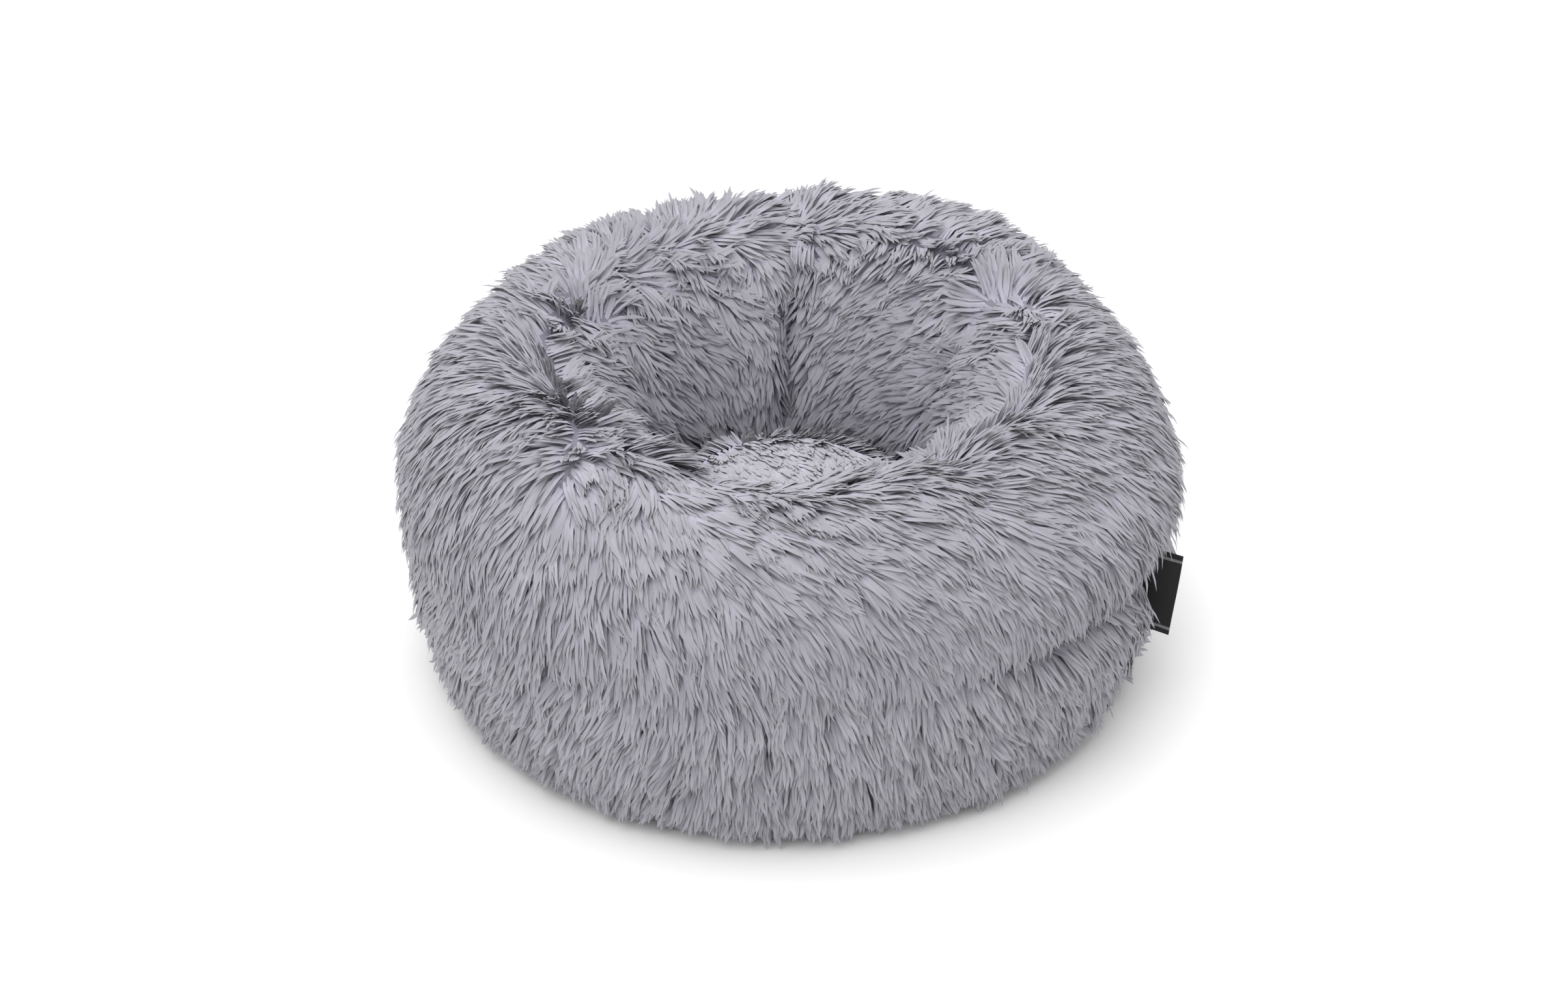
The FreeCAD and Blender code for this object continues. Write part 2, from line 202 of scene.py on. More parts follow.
class Section:
    """Half section of a turned soft form, with its stations, running length and outward normals."""

    def __init__(self, stations, radii, heights, swell, tilt):
        self.stations = stations
        self.radii = radii
        self.heights = heights
        slope_r = np.gradient(radii)
        slope_z = np.gradient(heights)
        size = np.maximum(np.hypot(slope_r, slope_z), 1e-12)
        self.normal_r = slope_z / size
        self.normal_z = -slope_r / size
        steps = np.hypot(np.diff(radii), np.diff(heights))
        self.along = np.concatenate([[0.0], np.cumsum(steps)])
        self.swell = swell
        self.tilt = tilt

    def place(self, azimuth, station, depth):
        """Points of the surface: the section turned about Z, moved along its normal by swell - depth,
        and then raised or lowered by tilt."""
        out = self.swell(azimuth, station) - depth
        radius = np.interp(station, self.stations, self.radii)
        radius = radius + out * np.interp(station, self.stations, self.normal_r)
        height = np.interp(station, self.stations, self.heights)
        height = height + out * np.interp(station, self.stations, self.normal_z)
        height = height + self.tilt(azimuth, station, height)
        return np.stack([radius * np.cos(azimuth), radius * np.sin(azimuth), height], -1)

    def frame_at(self, azimuth, station, depth):
        """Points, unit tangents round and along the surface, and outward unit normals, by difference."""
        point = self.place(azimuth, station, depth)
        ahead = self.place(azimuth + STEP, station, depth)
        onward = self.place(azimuth, station + STEP, depth)
        before = self.place(azimuth, station - STEP, depth)
        round_it = unit(ahead - point)
        along_it = onward - before
        normal = unit(np.cross(round_it, along_it))
        return point, round_it, unit(np.cross(normal, round_it)), normal


def join_stretches(stretches):
    """One section from (first station, last station, radii, heights) stretches, end to end."""
    stations = [np.linspace(a, b, len(r)) for a, b, r, z in stretches]
    radii = [r for a, b, r, z in stretches]
    heights = [z for a, b, r, z in stretches]
    keep = [slice(0, None)] + [slice(1, None)] * (len(stretches) - 1)
    return [np.concatenate([part[k] for part, k in zip(parts, keep)]) for parts in (stations, radii, heights)]


def ring_swell(azimuth, station):
    """How far the ring's cover stands out: gathers at the rim seams, a nipped shoulder seam with a lip
    over it, deepest at the front right, fullness inside the front left and round the left of the waist,
    a nip at each side seam, and slow waves."""
    ring = bpy.context.scene.bed_ring
    out = np.zeros(np.broadcast(azimuth, station).shape)
    over_rim = (0.25 + 0.75 * ease(station, 1.7, 2.2)) * ease(station, 1.05, 1.5)
    over_rim = over_rim * (1.0 - ease(station, 2.9, 3.2))
    for seam in RIM_SEAMS.values():
        off = turn_between(azimuth, seam)
        out -= ring.gather_depth * bump(off, 0.0, 4.0) * over_rim * (1.0 + 0.8 * ease(station, 2.2, 2.8))
        out += 0.3 * ring.gather_depth * bump(np.abs(off), 11.0, 6.0) * over_rim
    lip = 0.12 + bump(turn_between(azimuth, -36.0), 0.0, 24.0)
    out -= ring.shoulder_nip * bump(station, 0.93, 0.08) * lip
    out += 0.7 * ring.shoulder_nip * bump(station, 1.24, 0.17) * lip
    out += ring.front_sag * bump(turn_between(azimuth, 222.0), 0.0, 22.0) * bump(station, 2.3, 0.4)
    out += 0.7 * ring.shoulder_nip * bump(station, 0.36, 0.34) * ease(-np.cos(azimuth), -0.6, 0.4)
    on_wall = 1.0 - ease(station, 0.9, 1.1)
    for seam in (WALL_SEAM, WALL_SEAM + 180.0):
        out -= 0.6 * ring.shoulder_nip * bump(turn_between(azimuth, seam), 0.0, 2.0) * on_wall
    waves = np.sin(3.0 * azimuth + 1.1 + 1.7 * station) + np.sin(5.0 * azimuth - 2.3 * station)
    waves = waves + 0.8 * np.sin(9.0 * azimuth + 3.1 * station + 0.7)
    out += ring.wave_height / 3.0 * waves * ease(station, 0.2, 0.7) * (1.0 - ease(station, 2.8, 3.1))
    return out


def ring_tilt(azimuth, station, height):
    """How far the ring's top stands above its frame: high at the back, low at the front, with a slight
    sag in the front rim and humps at the front left, the back right and the back."""
    ring = bpy.context.scene.bed_ring
    on_top = ease(station, 0.7, 2.0) * (1.0 - ease(station, 2.4, 3.1))
    lean = ring.back_rise * np.sin(azimuth) - ring.settle
    sag = -0.3 * ring.front_sag * bump(turn_between(azimuth, 275.0), 0.0, 28.0)
    hump = around(azimuth, HUMPS, scale=ring.front_sag)
    return on_top * (height * lean + (sag + hump) * bump(station, 1.9, 0.9))


def ring_section():
    """Quarter circle under the bottom edge, sine bulge up the wall, two quarter ellipses over the rim
    and a straight drop down the well."""
    t = np.linspace(0.0, 0.5 * math.pi, ARC_STEPS)
    line = np.linspace(0.0, 1.0, ARC_STEPS)
    stretches = [
        (0.0, WAIST_STATION, EDGE_R + (WAIST_R - EDGE_R) * np.sin(t), BOTTOM_ROUND * (1.0 - np.cos(t))),
        (WAIST_STATION, 1.0, WAIST_R + (MAX_R - WAIST_R) * np.sin(t),
         BOTTOM_ROUND + (SHOULDER_Z - BOTTOM_ROUND) * line),
        (1.0, 2.0, CREST_R + (MAX_R - CREST_R) * np.cos(t), SHOULDER_Z + (CREST_Z - SHOULDER_Z) * np.sin(t)),
        (2.0, 3.0, CREST_R - (CREST_R - THROAT_R) * np.sin(t), THROAT_Z + (CREST_Z - THROAT_Z) * np.cos(t)),
        (3.0, 4.0, np.full(ARC_STEPS, THROAT_R), THROAT_Z + (FLOOR_TOP - THROAT_Z) * line),
    ]
    return Section(*join_stretches(stretches), ring_swell, ring_tilt)


def cushion_swell(azimuth, station):
    """Slow waves of the seat cushion's top, stilled at its seam."""
    cushion = bpy.context.scene.bed_cushion
    waves = np.sin(2.0 * azimuth + 0.4) + np.sin(3.0 * azimuth + 2.0 * station)
    return 0.5 * cushion.wave_height * waves * ease(station, 0.1, 0.8) * (1.0 - 0.8 * ease(station, 1.5, 2.0))


def no_tilt(azimuth, station, height):
    return np.zeros(np.broadcast(azimuth, station).shape)


def cushion_section():
    """Quarter ellipse up from the seam, then a shallow parabola to the middle."""
    t = np.linspace(0.0, 0.5 * math.pi, ARC_STEPS)
    line = np.linspace(1.0, 0.002, ARC_STEPS)
    flat_r = CUSHION_R - CUSHION_ROUND
    shoulder = CUSHION_TOP - CUSHION_DROP
    stretches = [
        (0.0, 1.0, flat_r + CUSHION_ROUND * np.cos(t), CUSHION_SEAM + (shoulder - CUSHION_SEAM) * np.sin(t)),
        (1.0, 2.0, flat_r * line, CUSHION_TOP - CUSHION_DROP * line ** 2),
    ]
    return Section(*join_stretches(stretches), cushion_swell, no_tilt)


# ---- meshes --------------------------------------------------------------------------------------

def build(name, points, corners, starts, maps=None, normals=None):
    """A smooth mesh object from points, face corners, the first corner of each face, corner maps and,
    where they aren't the surface's own, a normal for each point."""
    mesh = bpy.data.meshes.new(name)
    mesh.vertices.add(len(points))
    mesh.vertices.foreach_set("co", np.ascontiguousarray(points, np.float32).ravel())
    mesh.loops.add(len(corners))
    mesh.loops.foreach_set("vertex_index", np.ascontiguousarray(corners, np.int32))
    mesh.polygons.add(len(starts))
    mesh.polygons.foreach_set("loop_start", np.ascontiguousarray(starts, np.int32))
    mesh.update(calc_edges=True)
    mesh.shade_smooth()
    for label, values in (maps or {}).items():
        layer = mesh.uv_layers.new(name=label)
        layer.data.foreach_set("uv", np.ascontiguousarray(values, np.float32).ravel())
    if normals is not None:
        mesh.normals_split_custom_set_from_vertices(normals)
    body = bpy.data.objects.new(name, mesh)
    bpy.context.scene.collection.objects.link(body)
    return body


def grid_corners(rows, cols, wrap_rows=False, wrap_cols=False):
    """Corners of the four-sided faces of a grid of points, one row of the result for each face."""
    i = np.arange(rows if wrap_rows else rows - 1)
    j = np.arange(cols if wrap_cols else cols - 1)
    i, j = [a.ravel() for a in np.meshgrid(i, j, indexing="ij")]
    down, on = (i + 1) % rows, (j + 1) % cols
    return np.stack([i * cols + j, i * cols + on, down * cols + on, down * cols + j], 1)


def grid_map(rows, cols, wrap_rows, wrap_cols, size_u, size_v):
    """A corner map that runs with the grid, size_u along its columns and size_v down its rows."""
    i = np.arange(rows if wrap_rows else rows - 1)
    j = np.arange(cols if wrap_cols else cols - 1)
    i, j = [a.ravel() for a in np.meshgrid(i, j, indexing="ij")]
    across = np.stack([j, j + 1, j + 1, j], 1) / (cols if wrap_cols else cols - 1)
    down = np.stack([i, i, i + 1, i + 1], 1) / (rows if wrap_rows else rows - 1)
    return np.stack([across * size_u, down * size_v], -1)


def surface(name, points, wrap_rows=False, wrap_cols=False, size=(1.0, 1.0)):
    """A grid of points, rows by columns, as a mesh whose "cloth" map is in metres. Faces look along
    (step to the next column) x (step to the next row)."""
    rows, cols = points.shape[:2]
    corners = grid_corners(rows, cols, wrap_rows, wrap_cols)
    cloth = grid_map(rows, cols, wrap_rows, wrap_cols, *size)
    starts = np.arange(len(corners)) * 4
    return build(name, points.reshape(-1, 3), corners.ravel(), starts, {"cloth": cloth.reshape(-1, 2)})


def area_of(points):
    """Area of an open grid of points: half the cross product of each face's diagonals."""
    one = points[1:, 1:] - points[:-1, :-1]
    two = points[1:, :-1] - points[:-1, 1:]
    return float(np.linalg.norm(np.cross(one, two), axis=-1).sum() / 2.0)


def solid(body, thickness, offset=-1.0):
    """Gives a surface its cloth's thickness, inwards with an offset of -1."""
    wall = body.modifiers.new("cloth thickness", "SOLIDIFY")
    wall.thickness = thickness
    wall.offset = offset
    wall.use_even_offset = False
    return body


def read_points(body):
    """The points of a mesh, one to a row."""
    points = np.zeros(len(body.data.vertices) * 3, np.float32)
    body.data.vertices.foreach_get("co", points)
    return points.reshape(-1, 3)


def write_points(body, points):
    """Moves the points of a mesh to new places."""
    body.data.vertices.foreach_set("co", points.ravel())
    body.data.update()


def apply_modifiers(body):
    """The evaluated mesh takes the place of the object's own."""
    made = bpy.data.meshes.new_from_object(body.evaluated_get(bpy.context.evaluated_depsgraph_get()))
    old = body.data
    body.modifiers.clear()
    body.data = made
    bpy.data.meshes.remove(old)


def rounded_copy(name, node, width):
    """A merged copy of a moulded or cast CAD node with its sharp edges rounded."""
    mesh = bpy.data.meshes.new(name)
    shape = bmesh.new()
    shape.from_mesh(frame["nodes"][node].data)
    bmesh.ops.remove_doubles(shape, verts=shape.verts, dist=1e-5)
    bmesh.ops.dissolve_limit(shape, angle_limit=math.radians(2.0), verts=shape.verts, edges=shape.edges)
    shape.to_mesh(mesh)
    shape.free()
    body = bpy.data.objects.new(name, mesh)
    bpy.context.scene.collection.objects.link(body)
    edge = body.modifiers.new("rounded edges", "BEVEL")
    edge.width = width
    edge.segments = 2
    edge.limit_method = "ANGLE"
    edge.harden_normals = False
    mesh.shade_smooth()
    return body


def finish_piece(body, material, ride_on, nodes=()):
    """Finish, body to ride on, material slot and the CAD nodes that the piece stands for."""
    body.data.materials.clear()
    body.data.materials.append(material)
    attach(body, ride_on)
    if nodes:
        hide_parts(*nodes)
    return body


# ---- locks of pile -------------------------------------------------------------------------------

def lock_mesh(name, centre, side, up, width, tint, skin_normal, softness):
    """Every lock is a bent three-sided spike: a flat triangle at each ring, about three times as wide as
    high, drawn to a point at the tip, with the root closed. Its "pile" map holds tint and place along
    it. Its normals are its own mixed with the cover's, so that locks shade as soft as a mass of hair.
    Locks stay above the floor, and are pressed down above PILE_TOP."""
    count, rings = len(centre), len(GIRTH)
    half = 0.5 * width[:, None, None] * GIRTH[None, :, None]
    middle = centre[:, :rings]
    ring = np.stack([middle + side[:, :rings] * half, middle + FLATNESS * up[:, :rings] * half,
                     middle - side[:, :rings] * half], 2)
    points = np.concatenate([ring.reshape(count, rings * SIDES, 3), centre[:, rings:]], 1)
    points[..., 2] = np.maximum(points[..., 2], LOWEST_LOCK)
    over = np.maximum(points[..., 2] - PILE_TOP, 0.0)
    points[..., 2] -= over * PRESSED
    own = np.stack([side[:, :rings] + 0.3 * up[:, :rings], up[:, :rings],
                    0.3 * up[:, :rings] - side[:, :rings]], 2)
    own = np.concatenate([own.reshape(count, rings * SIDES, 3), up[:, rings:]], 1)
    share = softness[:, None, None]
    normals = unit(unit(own) * (1.0 - share) + skin_normal[:, None, :] * share)
    tip = rings * SIDES
    faces, edge_of, level_of = [], [], []
    for k in range(rings - 1):
        for i in range(SIDES):
            n = (i + 1) % SIDES
            faces.append([k * SIDES + i, k * SIDES + n, (k + 1) * SIDES + n, (k + 1) * SIDES + i])
            edge_of.append([i, i + 1, i + 1, i])
            level_of.append([LEVELS[k], LEVELS[k], LEVELS[k + 1], LEVELS[k + 1]])
    for i in range(SIDES):
        n = (i + 1) % SIDES
        faces.append([tip - SIDES + i, tip - SIDES + n, tip])
        edge_of.append([i, i + 1, i + 0.5])
        level_of.append([LEVELS[rings - 1], LEVELS[rings - 1], 1.0])
    faces.append([2, 1, 0])
    edge_of.append([2, 1, 0])
    level_of.append([0.0, 0.02, 0.0])
    one = np.concatenate(faces)
    sizes = np.array([len(f) for f in faces])
    corners = (np.arange(count)[:, None] * points.shape[1] + one[None, :]).ravel()
    first = np.concatenate([[0], np.cumsum(sizes)[:-1]])
    starts = (np.arange(count)[:, None] * len(one) + first[None, :]).ravel()
    levels = np.broadcast_to(np.concatenate(level_of), (count, len(one)))
    wide = np.broadcast_to((np.concatenate(edge_of) - 1.5) * 0.003, levels.shape)
    # tint is each lock's tone together with the painted light and shade of its place.
    pile = np.stack([0.02 + 0.96 * tint[:, None] + wide, levels], -1).reshape(-1, 2)
    maps = {"pile": pile, "OFBake": pile}
    return build(name, points.reshape(-1, 3), corners, starts, maps, normals.reshape(-1, 3))


def grow(root, normal, lay, length, rise, settle, curl, pull, droop):
    """Centre lines of locks and the axes of their rings. A lock leaves the cover at the angle rise from
    the normal and turns to the angle settle, bends sideways by a sine wave of height curl, is drawn
    towards its tuft by pull times its place along the lock, and hangs by droop times that squared."""
    side = unit(np.cross(normal, lay))
    centre = [root - ROOT_SINK * normal]
    for k in range(1, len(LEVELS)):
        mid = 0.5 * (LEVELS[k - 1] + LEVELS[k])
        angle = (rise + (settle - rise) * mid ** 0.75)[:, None]
        sway = (curl * np.sin(math.pi * (0.15 + 1.5 * mid)))[:, None]
        way = unit(np.cos(angle) * normal + np.sin(angle) * lay + sway * side)
        centre.append(centre[-1] + way * (length * (LEVELS[k] - LEVELS[k - 1]))[:, None])
    centre = np.stack(centre, 1)
    centre = centre + pull[:, None, :] * LEVELS[None, :, None]
    centre[..., 2] -= (droop * length)[:, None] * LEVELS[None, :] ** 2
    ahead = unit(np.gradient(centre, axis=1))
    across = unit(side[:, None, :] - ahead * (side[:, None, :] * ahead).sum(-1, keepdims=True))
    return centre, across, np.cross(ahead, across)


def roots(section, first, last, start, sweep, spacing, seed):
    """Azimuths and stations of locks, spread evenly over the area between two stations by a golden
    sequence in two dimensions with a little jitter. One lock has spacing squared of area."""
    inside = (section.stations >= first) & (section.stations <= last)
    stations = section.stations[inside]
    ring_area = np.cumsum(section.radii[inside] * np.gradient(section.along[inside]))
    area = ring_area[-1] * sweep
    count = int(area / spacing ** 2)
    index = np.arange(count) + seed * SPREAD_SHIFT
    share = np.interp((0.5 + index * SPREAD_ALONG) % 1.0, ring_area / ring_area[-1], stations)
    rng = np.random.default_rng(seed)
    azimuth = start + sweep * ((0.5 + index * SPREAD_ROUND) % 1.0)
    radius = np.interp(share, section.stations, section.radii)
    azimuth = azimuth + rng.uniform(-0.35, 0.35, count) * spacing / np.maximum(radius, spacing)
    return azimuth, share


def tufts(section, azimuth, station, size):
    """The tuft that each lock belongs to: the nearest centre of a jittered grid laid over the surface,
    in rows of equal running length. Gives the centre's azimuth and station, and random numbers."""
    along = np.interp(station, section.stations, section.along)
    radius = np.interp(station, section.stations, section.radii)
    row = np.floor(along / size)
    rng = np.random.default_rng(11)
    noise = rng.random((TUFT_DRAWS, 6))
    best = np.full(len(azimuth), np.inf)
    found = np.zeros((len(azimuth), 2))
    draw = np.zeros((len(azimuth), 6))
    for di in (-1, 0, 1):
        here = row + di
        row_r = np.interp((here + 0.5) * size, section.along, section.radii)
        cells = np.maximum(np.round(2.0 * math.pi * row_r / size), 1.0)
        turn = (azimuth / (2.0 * math.pi)) % 1.0 * cells
        for dj in (-1, 0, 1):
            cell = (np.floor(turn) + dj) % cells
            key = ((here + 5.0) * 613.0 + cell * 17.0).astype(np.int64) % TUFT_DRAWS
            numbers = noise[key]
            c_along = (here + 0.15 + 0.7 * numbers[:, 0]) * size
            c_turn = (cell + 0.15 + 0.7 * numbers[:, 1]) / cells * 2.0 * math.pi
            gap = (c_turn - azimuth + math.pi) % (2.0 * math.pi) - math.pi
            far = (c_along - along) ** 2 + (gap * radius) ** 2
            nearer = far < best
            best = np.where(nearer, far, best)
            found = np.where(nearer[:, None], np.stack([azimuth + gap, c_along], 1), found)
            draw = np.where(nearer[:, None], numbers, draw)
    centre_station = np.interp(found[:, 1], section.along, section.stations)
    return found[:, 0], centre_station, draw


def pile(name, section, azimuth, station, lay_at, size, seed):
    """Locks of pile rooted at these azimuths and stations. lay_at gives how far they lie round and along
    the surface. size gives their length, width, gather towards the tuft's middle, depth of the cover,
    first and last angle from the normal and droop. Its functions of place change the length, the painted
    light and shade added to the tone, turning of tufts, lean and softness, and leave out roots where keep
    says so."""
    look = bpy.context.scene.bed_pile
    keep = size["keep"](azimuth, station) if "keep" in size else np.ones(len(azimuth), bool)
    azimuth, station = azimuth[keep], station[keep]
    rng = np.random.default_rng(seed)
    count = len(azimuth)
    draw = rng.random((count, 8))
    depth = under_pile(section, station, size["depth"])
    point, round_it, along_it, normal = section.frame_at(azimuth, station, depth)
    c_azimuth, c_station, tuft = tufts(section, azimuth, station, look.tuft_size)
    centre = section.place(c_azimuth, c_station, depth)
    lay_round, lay_along = lay_at(c_azimuth, c_station, centre)
    mess = size["mess_at"](azimuth, station)
    strength = np.clip(np.hypot(lay_round, lay_along), 0.25, 1.0)
    turn = (tuft[:, 2] - 0.5) * look.tuft_turn * 2.0 + look.tuft_turn * drift(point, 0.045, 5)
    turn = turn * mess + (draw[:, 0] - 0.5) * look.lock_turn * 2.0
    lay_round, lay_along = (lay_round * np.cos(turn) - lay_along * np.sin(turn),
                            lay_round * np.sin(turn) + lay_along * np.cos(turn))
    lay = unit(round_it * lay_round[:, None] + along_it * lay_along[:, None])
    lift = (tuft[:, 3] - 0.5) * 0.2 * mess + size["lean_at"](azimuth, station)
    rise = size["rise"] + lift + (draw[:, 1] - 0.5) * 0.16
    rise = rise * (0.5 + 0.5 * strength)
    settle = rise + (size["settle"] - size["rise"]) * strength + (draw[:, 2] - 0.5) * 0.12
    settle = np.minimum(settle, MOST_SETTLED)
    length = size["length"] * size["long_at"](azimuth, station) * (0.6 + 0.4 * strength)
    length = length * (0.78 + 0.3 * tuft[:, 4] + 0.28 * (draw[:, 3] - 0.5))
    stray = draw[:, 7] > 1.0 - look.stray_share
    length = np.where(stray, length * 1.15, length)
    settle = np.where(stray, settle - 0.12, settle)
    width = size["width"] * (0.6 + 0.8 * draw[:, 4])
    curl = (draw[:, 5] - 0.5) * look.curl + (tuft[:, 5] - 0.5) * look.curl
    pull = (centre - point) * (size["gather"] * look.gather_share * (0.5 + 0.9 * draw[:, 6]))[:, None]
    pull = pull - normal * (pull * normal).sum(-1, keepdims=True)
    droop = np.full(count, size["droop"])
    lines = grow(point, normal, lay, length, rise, settle, curl, pull, droop)
    tone = 0.5 + 0.16 * (tuft[:, 2] - 0.5) + 0.2 * (draw[:, 0] - 0.5) + 0.07 * drift(point, 0.03, 8)
    # Adds the painted light and shade of the lock's place to its own random tone.
    tone = np.clip(tone + size["painted_light_at"](azimuth, station), 0.0, 1.0)
    softness = np.clip(look.softness + size["soft_at"](azimuth, station), 0.0, 0.95)
    return lock_mesh(name, *lines, width, tone, normal, softness)


def add_whorls(azimuth, station, point, section, depth, lay_round, lay_along, places):
    """Adds a sunburst to the lay at each (azimuth, station, reach, strength): away from the place,
    growing with distance and then fading as a bell curve, so that pile stands up in the middle."""
    round_it, along_it = section.frame_at(azimuth, station, depth)[1:3]
    for where, level, reach, strength in places:
        middle = section.place(np.array([math.radians(where)]), np.array([level]), depth)
        away = point - middle
        far = np.linalg.norm(away, axis=-1)
        share = strength * 2.2 * (far / reach) * np.exp(-(far / reach) ** 2)
        away = away / np.maximum(far, 1e-6)[:, None]
        lay_round = lay_round + share * (away * round_it).sum(-1)
        lay_along = lay_along + share * (away * along_it).sum(-1)
    return lay_round, lay_along


def ring_lay(azimuth, station, point):
    """Lay of the ring's pile. It hangs down and sweeps away from the front on the wall, lies outwards
    on the outer rim and inwards on the inner one, drifts towards +X along the crest, sweeps round inside
    the back, flows sideways on the front rim, parts at the label and stands up in whorls."""
    ring = bpy.context.scene.bed_ring
    outer = 1.0 - ease(station, 1.9, 2.3)
    along = -outer + ease(station, 2.1, 2.45)
    sweep = ring.wall_sweep * np.cos(azimuth) * (1.0 - ease(station, 0.7, 1.15))
    on_crest = bump(station, 2.1, 0.35) * np.sin(azimuth) ** 2
    round_it = sweep + on_crest * (-np.sin(azimuth) - 0.3 * np.cos(azimuth)) * 0.8
    along = along - on_crest * (np.cos(azimuth) - 0.3 * np.sin(azimuth)) * 0.45
    inside = ease(station, 2.2, 2.6)
    round_it = around(azimuth, INNER_SWEEPS, round_it, inside)
    front = bump(turn_between(azimuth, 275.0), 0.0, 48.0) * bump(station, 1.65, 0.5)
    round_it = round_it + ring.front_flow * front
    beside_label = bump(turn_between(azimuth, WALL_SEAM), 0.0, 4.5) * bump(station, 0.72, 0.3)
    side = np.sign(turn_between(azimuth, WALL_SEAM))
    round_it = round_it + 2.2 * beside_label * side
    return add_whorls(azimuth, station, point, RING, PILE_DEPTH, round_it, along, WHORLS)


def ring_mess(azimuth, station):
    """How much more the tufts turn about where the lay parts: most inside the left of the ring."""
    return 1.0 + around(azimuth, TANGLES, 0.8) * bump(station, 2.25, 0.28)


def ring_length(azimuth, station):
    """Locks are short at the bottom edge, somewhat shorter inside the ring and short down the well."""
    out = 0.45 + 0.6 * ease(station, 0.1, 0.55)
    out = out * (1.0 - 0.3 * ease(station, 2.1, 2.6))
    return out * (1.0 - 0.45 * ease(station, 2.95, 3.2))


def ring_painted_light(azimuth, station):
    """Painted light and shade by place on the ring's pile: much paler inside the ring, painted light in the
    shaded well, and a little darker low on the wall, on the front rim and on the right, painted shade."""
    tone = 0.02 * bump(station, 1.7, 0.6) - 0.08 * (1.0 - ease(station, 0.3, 1.1))
    tone = tone + 0.45 * ease(station, 2.1, 2.8) - 0.03 * np.cos(azimuth)
    tone = tone - 0.12 * bump(turn_between(azimuth, 270.0), 0.0, 60.0) * bump(station, 1.6, 0.6)
    return tone


def ring_lean(azimuth, station):
    """How much flatter than on the wall the pile lies: flat over the rim, upright inside the ring."""
    return 0.16 * bump(station, 1.7, 0.6) - 0.26 * ease(station, 2.2, 2.6)


def ring_softness(azimuth, station):
    """Locks shade as one mass on the rim and stand apart low on the wall."""
    return 0.2 * ease(station, 1.0, 1.7) - 0.14 * (1.0 - ease(station, 0.4, 1.1))


def cushion_length(azimuth, station):
    """Locks grow a little longer from the seat cushion's seam to its middle."""
    return 0.9 + 0.1 * station


def clear_of_label(azimuth, station):
    """False for roots in the slit that holds the label."""
    off = np.abs(turn_between(azimuth, WALL_SEAM)) * math.radians(1.0) * MAX_R
    height = np.interp(station, RING.stations, RING.heights)
    label_top = SWING["pos_m"][2] + LABEL_H / 2.0
    beside = (height > label_top - LABEL_H - 0.004) & (height < label_top + 0.010) & (station < 1.3)
    return ~(beside & (off < 0.0055))


def cushion_lay(azimuth, station, point):
    """Lay of the seat cushion's pile: one direction over the top, and down its side."""
    cushion = bpy.context.scene.bed_cushion
    way = math.radians(cushion.lay_azimuth)
    over = ease(station, 0.5, 1.1)
    round_it = over * np.sin(way - azimuth)
    along = -over * np.cos(way - azimuth) - (1.0 - over)
    return round_it, along


# ---- materials -----------------------------------------------------------------------------------

def node_of(tree, kind, **values):
    """A shader node with its properties, and its sockets by name, set."""
    made = tree.nodes.new(kind)
    for name, value in values.items():
        if hasattr(made, name):
            setattr(made, name, value)
        else:
            made.inputs[name.replace("_", " ")].default_value = value
    return made


def calculate(tree, operation, first, second=None, third=None, clamp=False):
    """A Math node on sockets or numbers, and its output."""
    made = tree.nodes.new("ShaderNodeMath")
    made.operation = operation
    made.use_clamp = clamp
    for socket, value in zip(made.inputs, (first, second, third)):
        if isinstance(value, bpy.types.NodeSocket):
            tree.links.new(value, socket)
        elif value is not None:
            socket.default_value = value
    return made.outputs[0]


def mix_colours(tree, share, first, second):
    """A Mix node between two colours, given as sockets or values, and its output."""
    made = tree.nodes.new("ShaderNodeMix")
    made.data_type = "RGBA"
    for socket, value in zip((made.inputs[0], made.inputs[6], made.inputs[7]), (share, first, second)):
        if isinstance(value, bpy.types.NodeSocket):
            tree.links.new(value, socket)
        else:
            socket.default_value = value
    return made.outputs[2]


def new_group(name, inputs, outputs):
    """A shader node group with these inputs, as (name, socket kind, default), and outputs."""
    group = bpy.data.node_groups.new(name, "ShaderNodeTree")
    for label, kind, default in inputs:
        socket = group.interface.new_socket(name=label, in_out="INPUT", socket_type=kind)
        if default is not None:
            socket.default_value = default
    for label, kind in outputs:
        group.interface.new_socket(name=label, in_out="OUTPUT", socket_type=kind)
    return group, group.nodes.new("NodeGroupInput"), group.nodes.new("NodeGroupOutput")


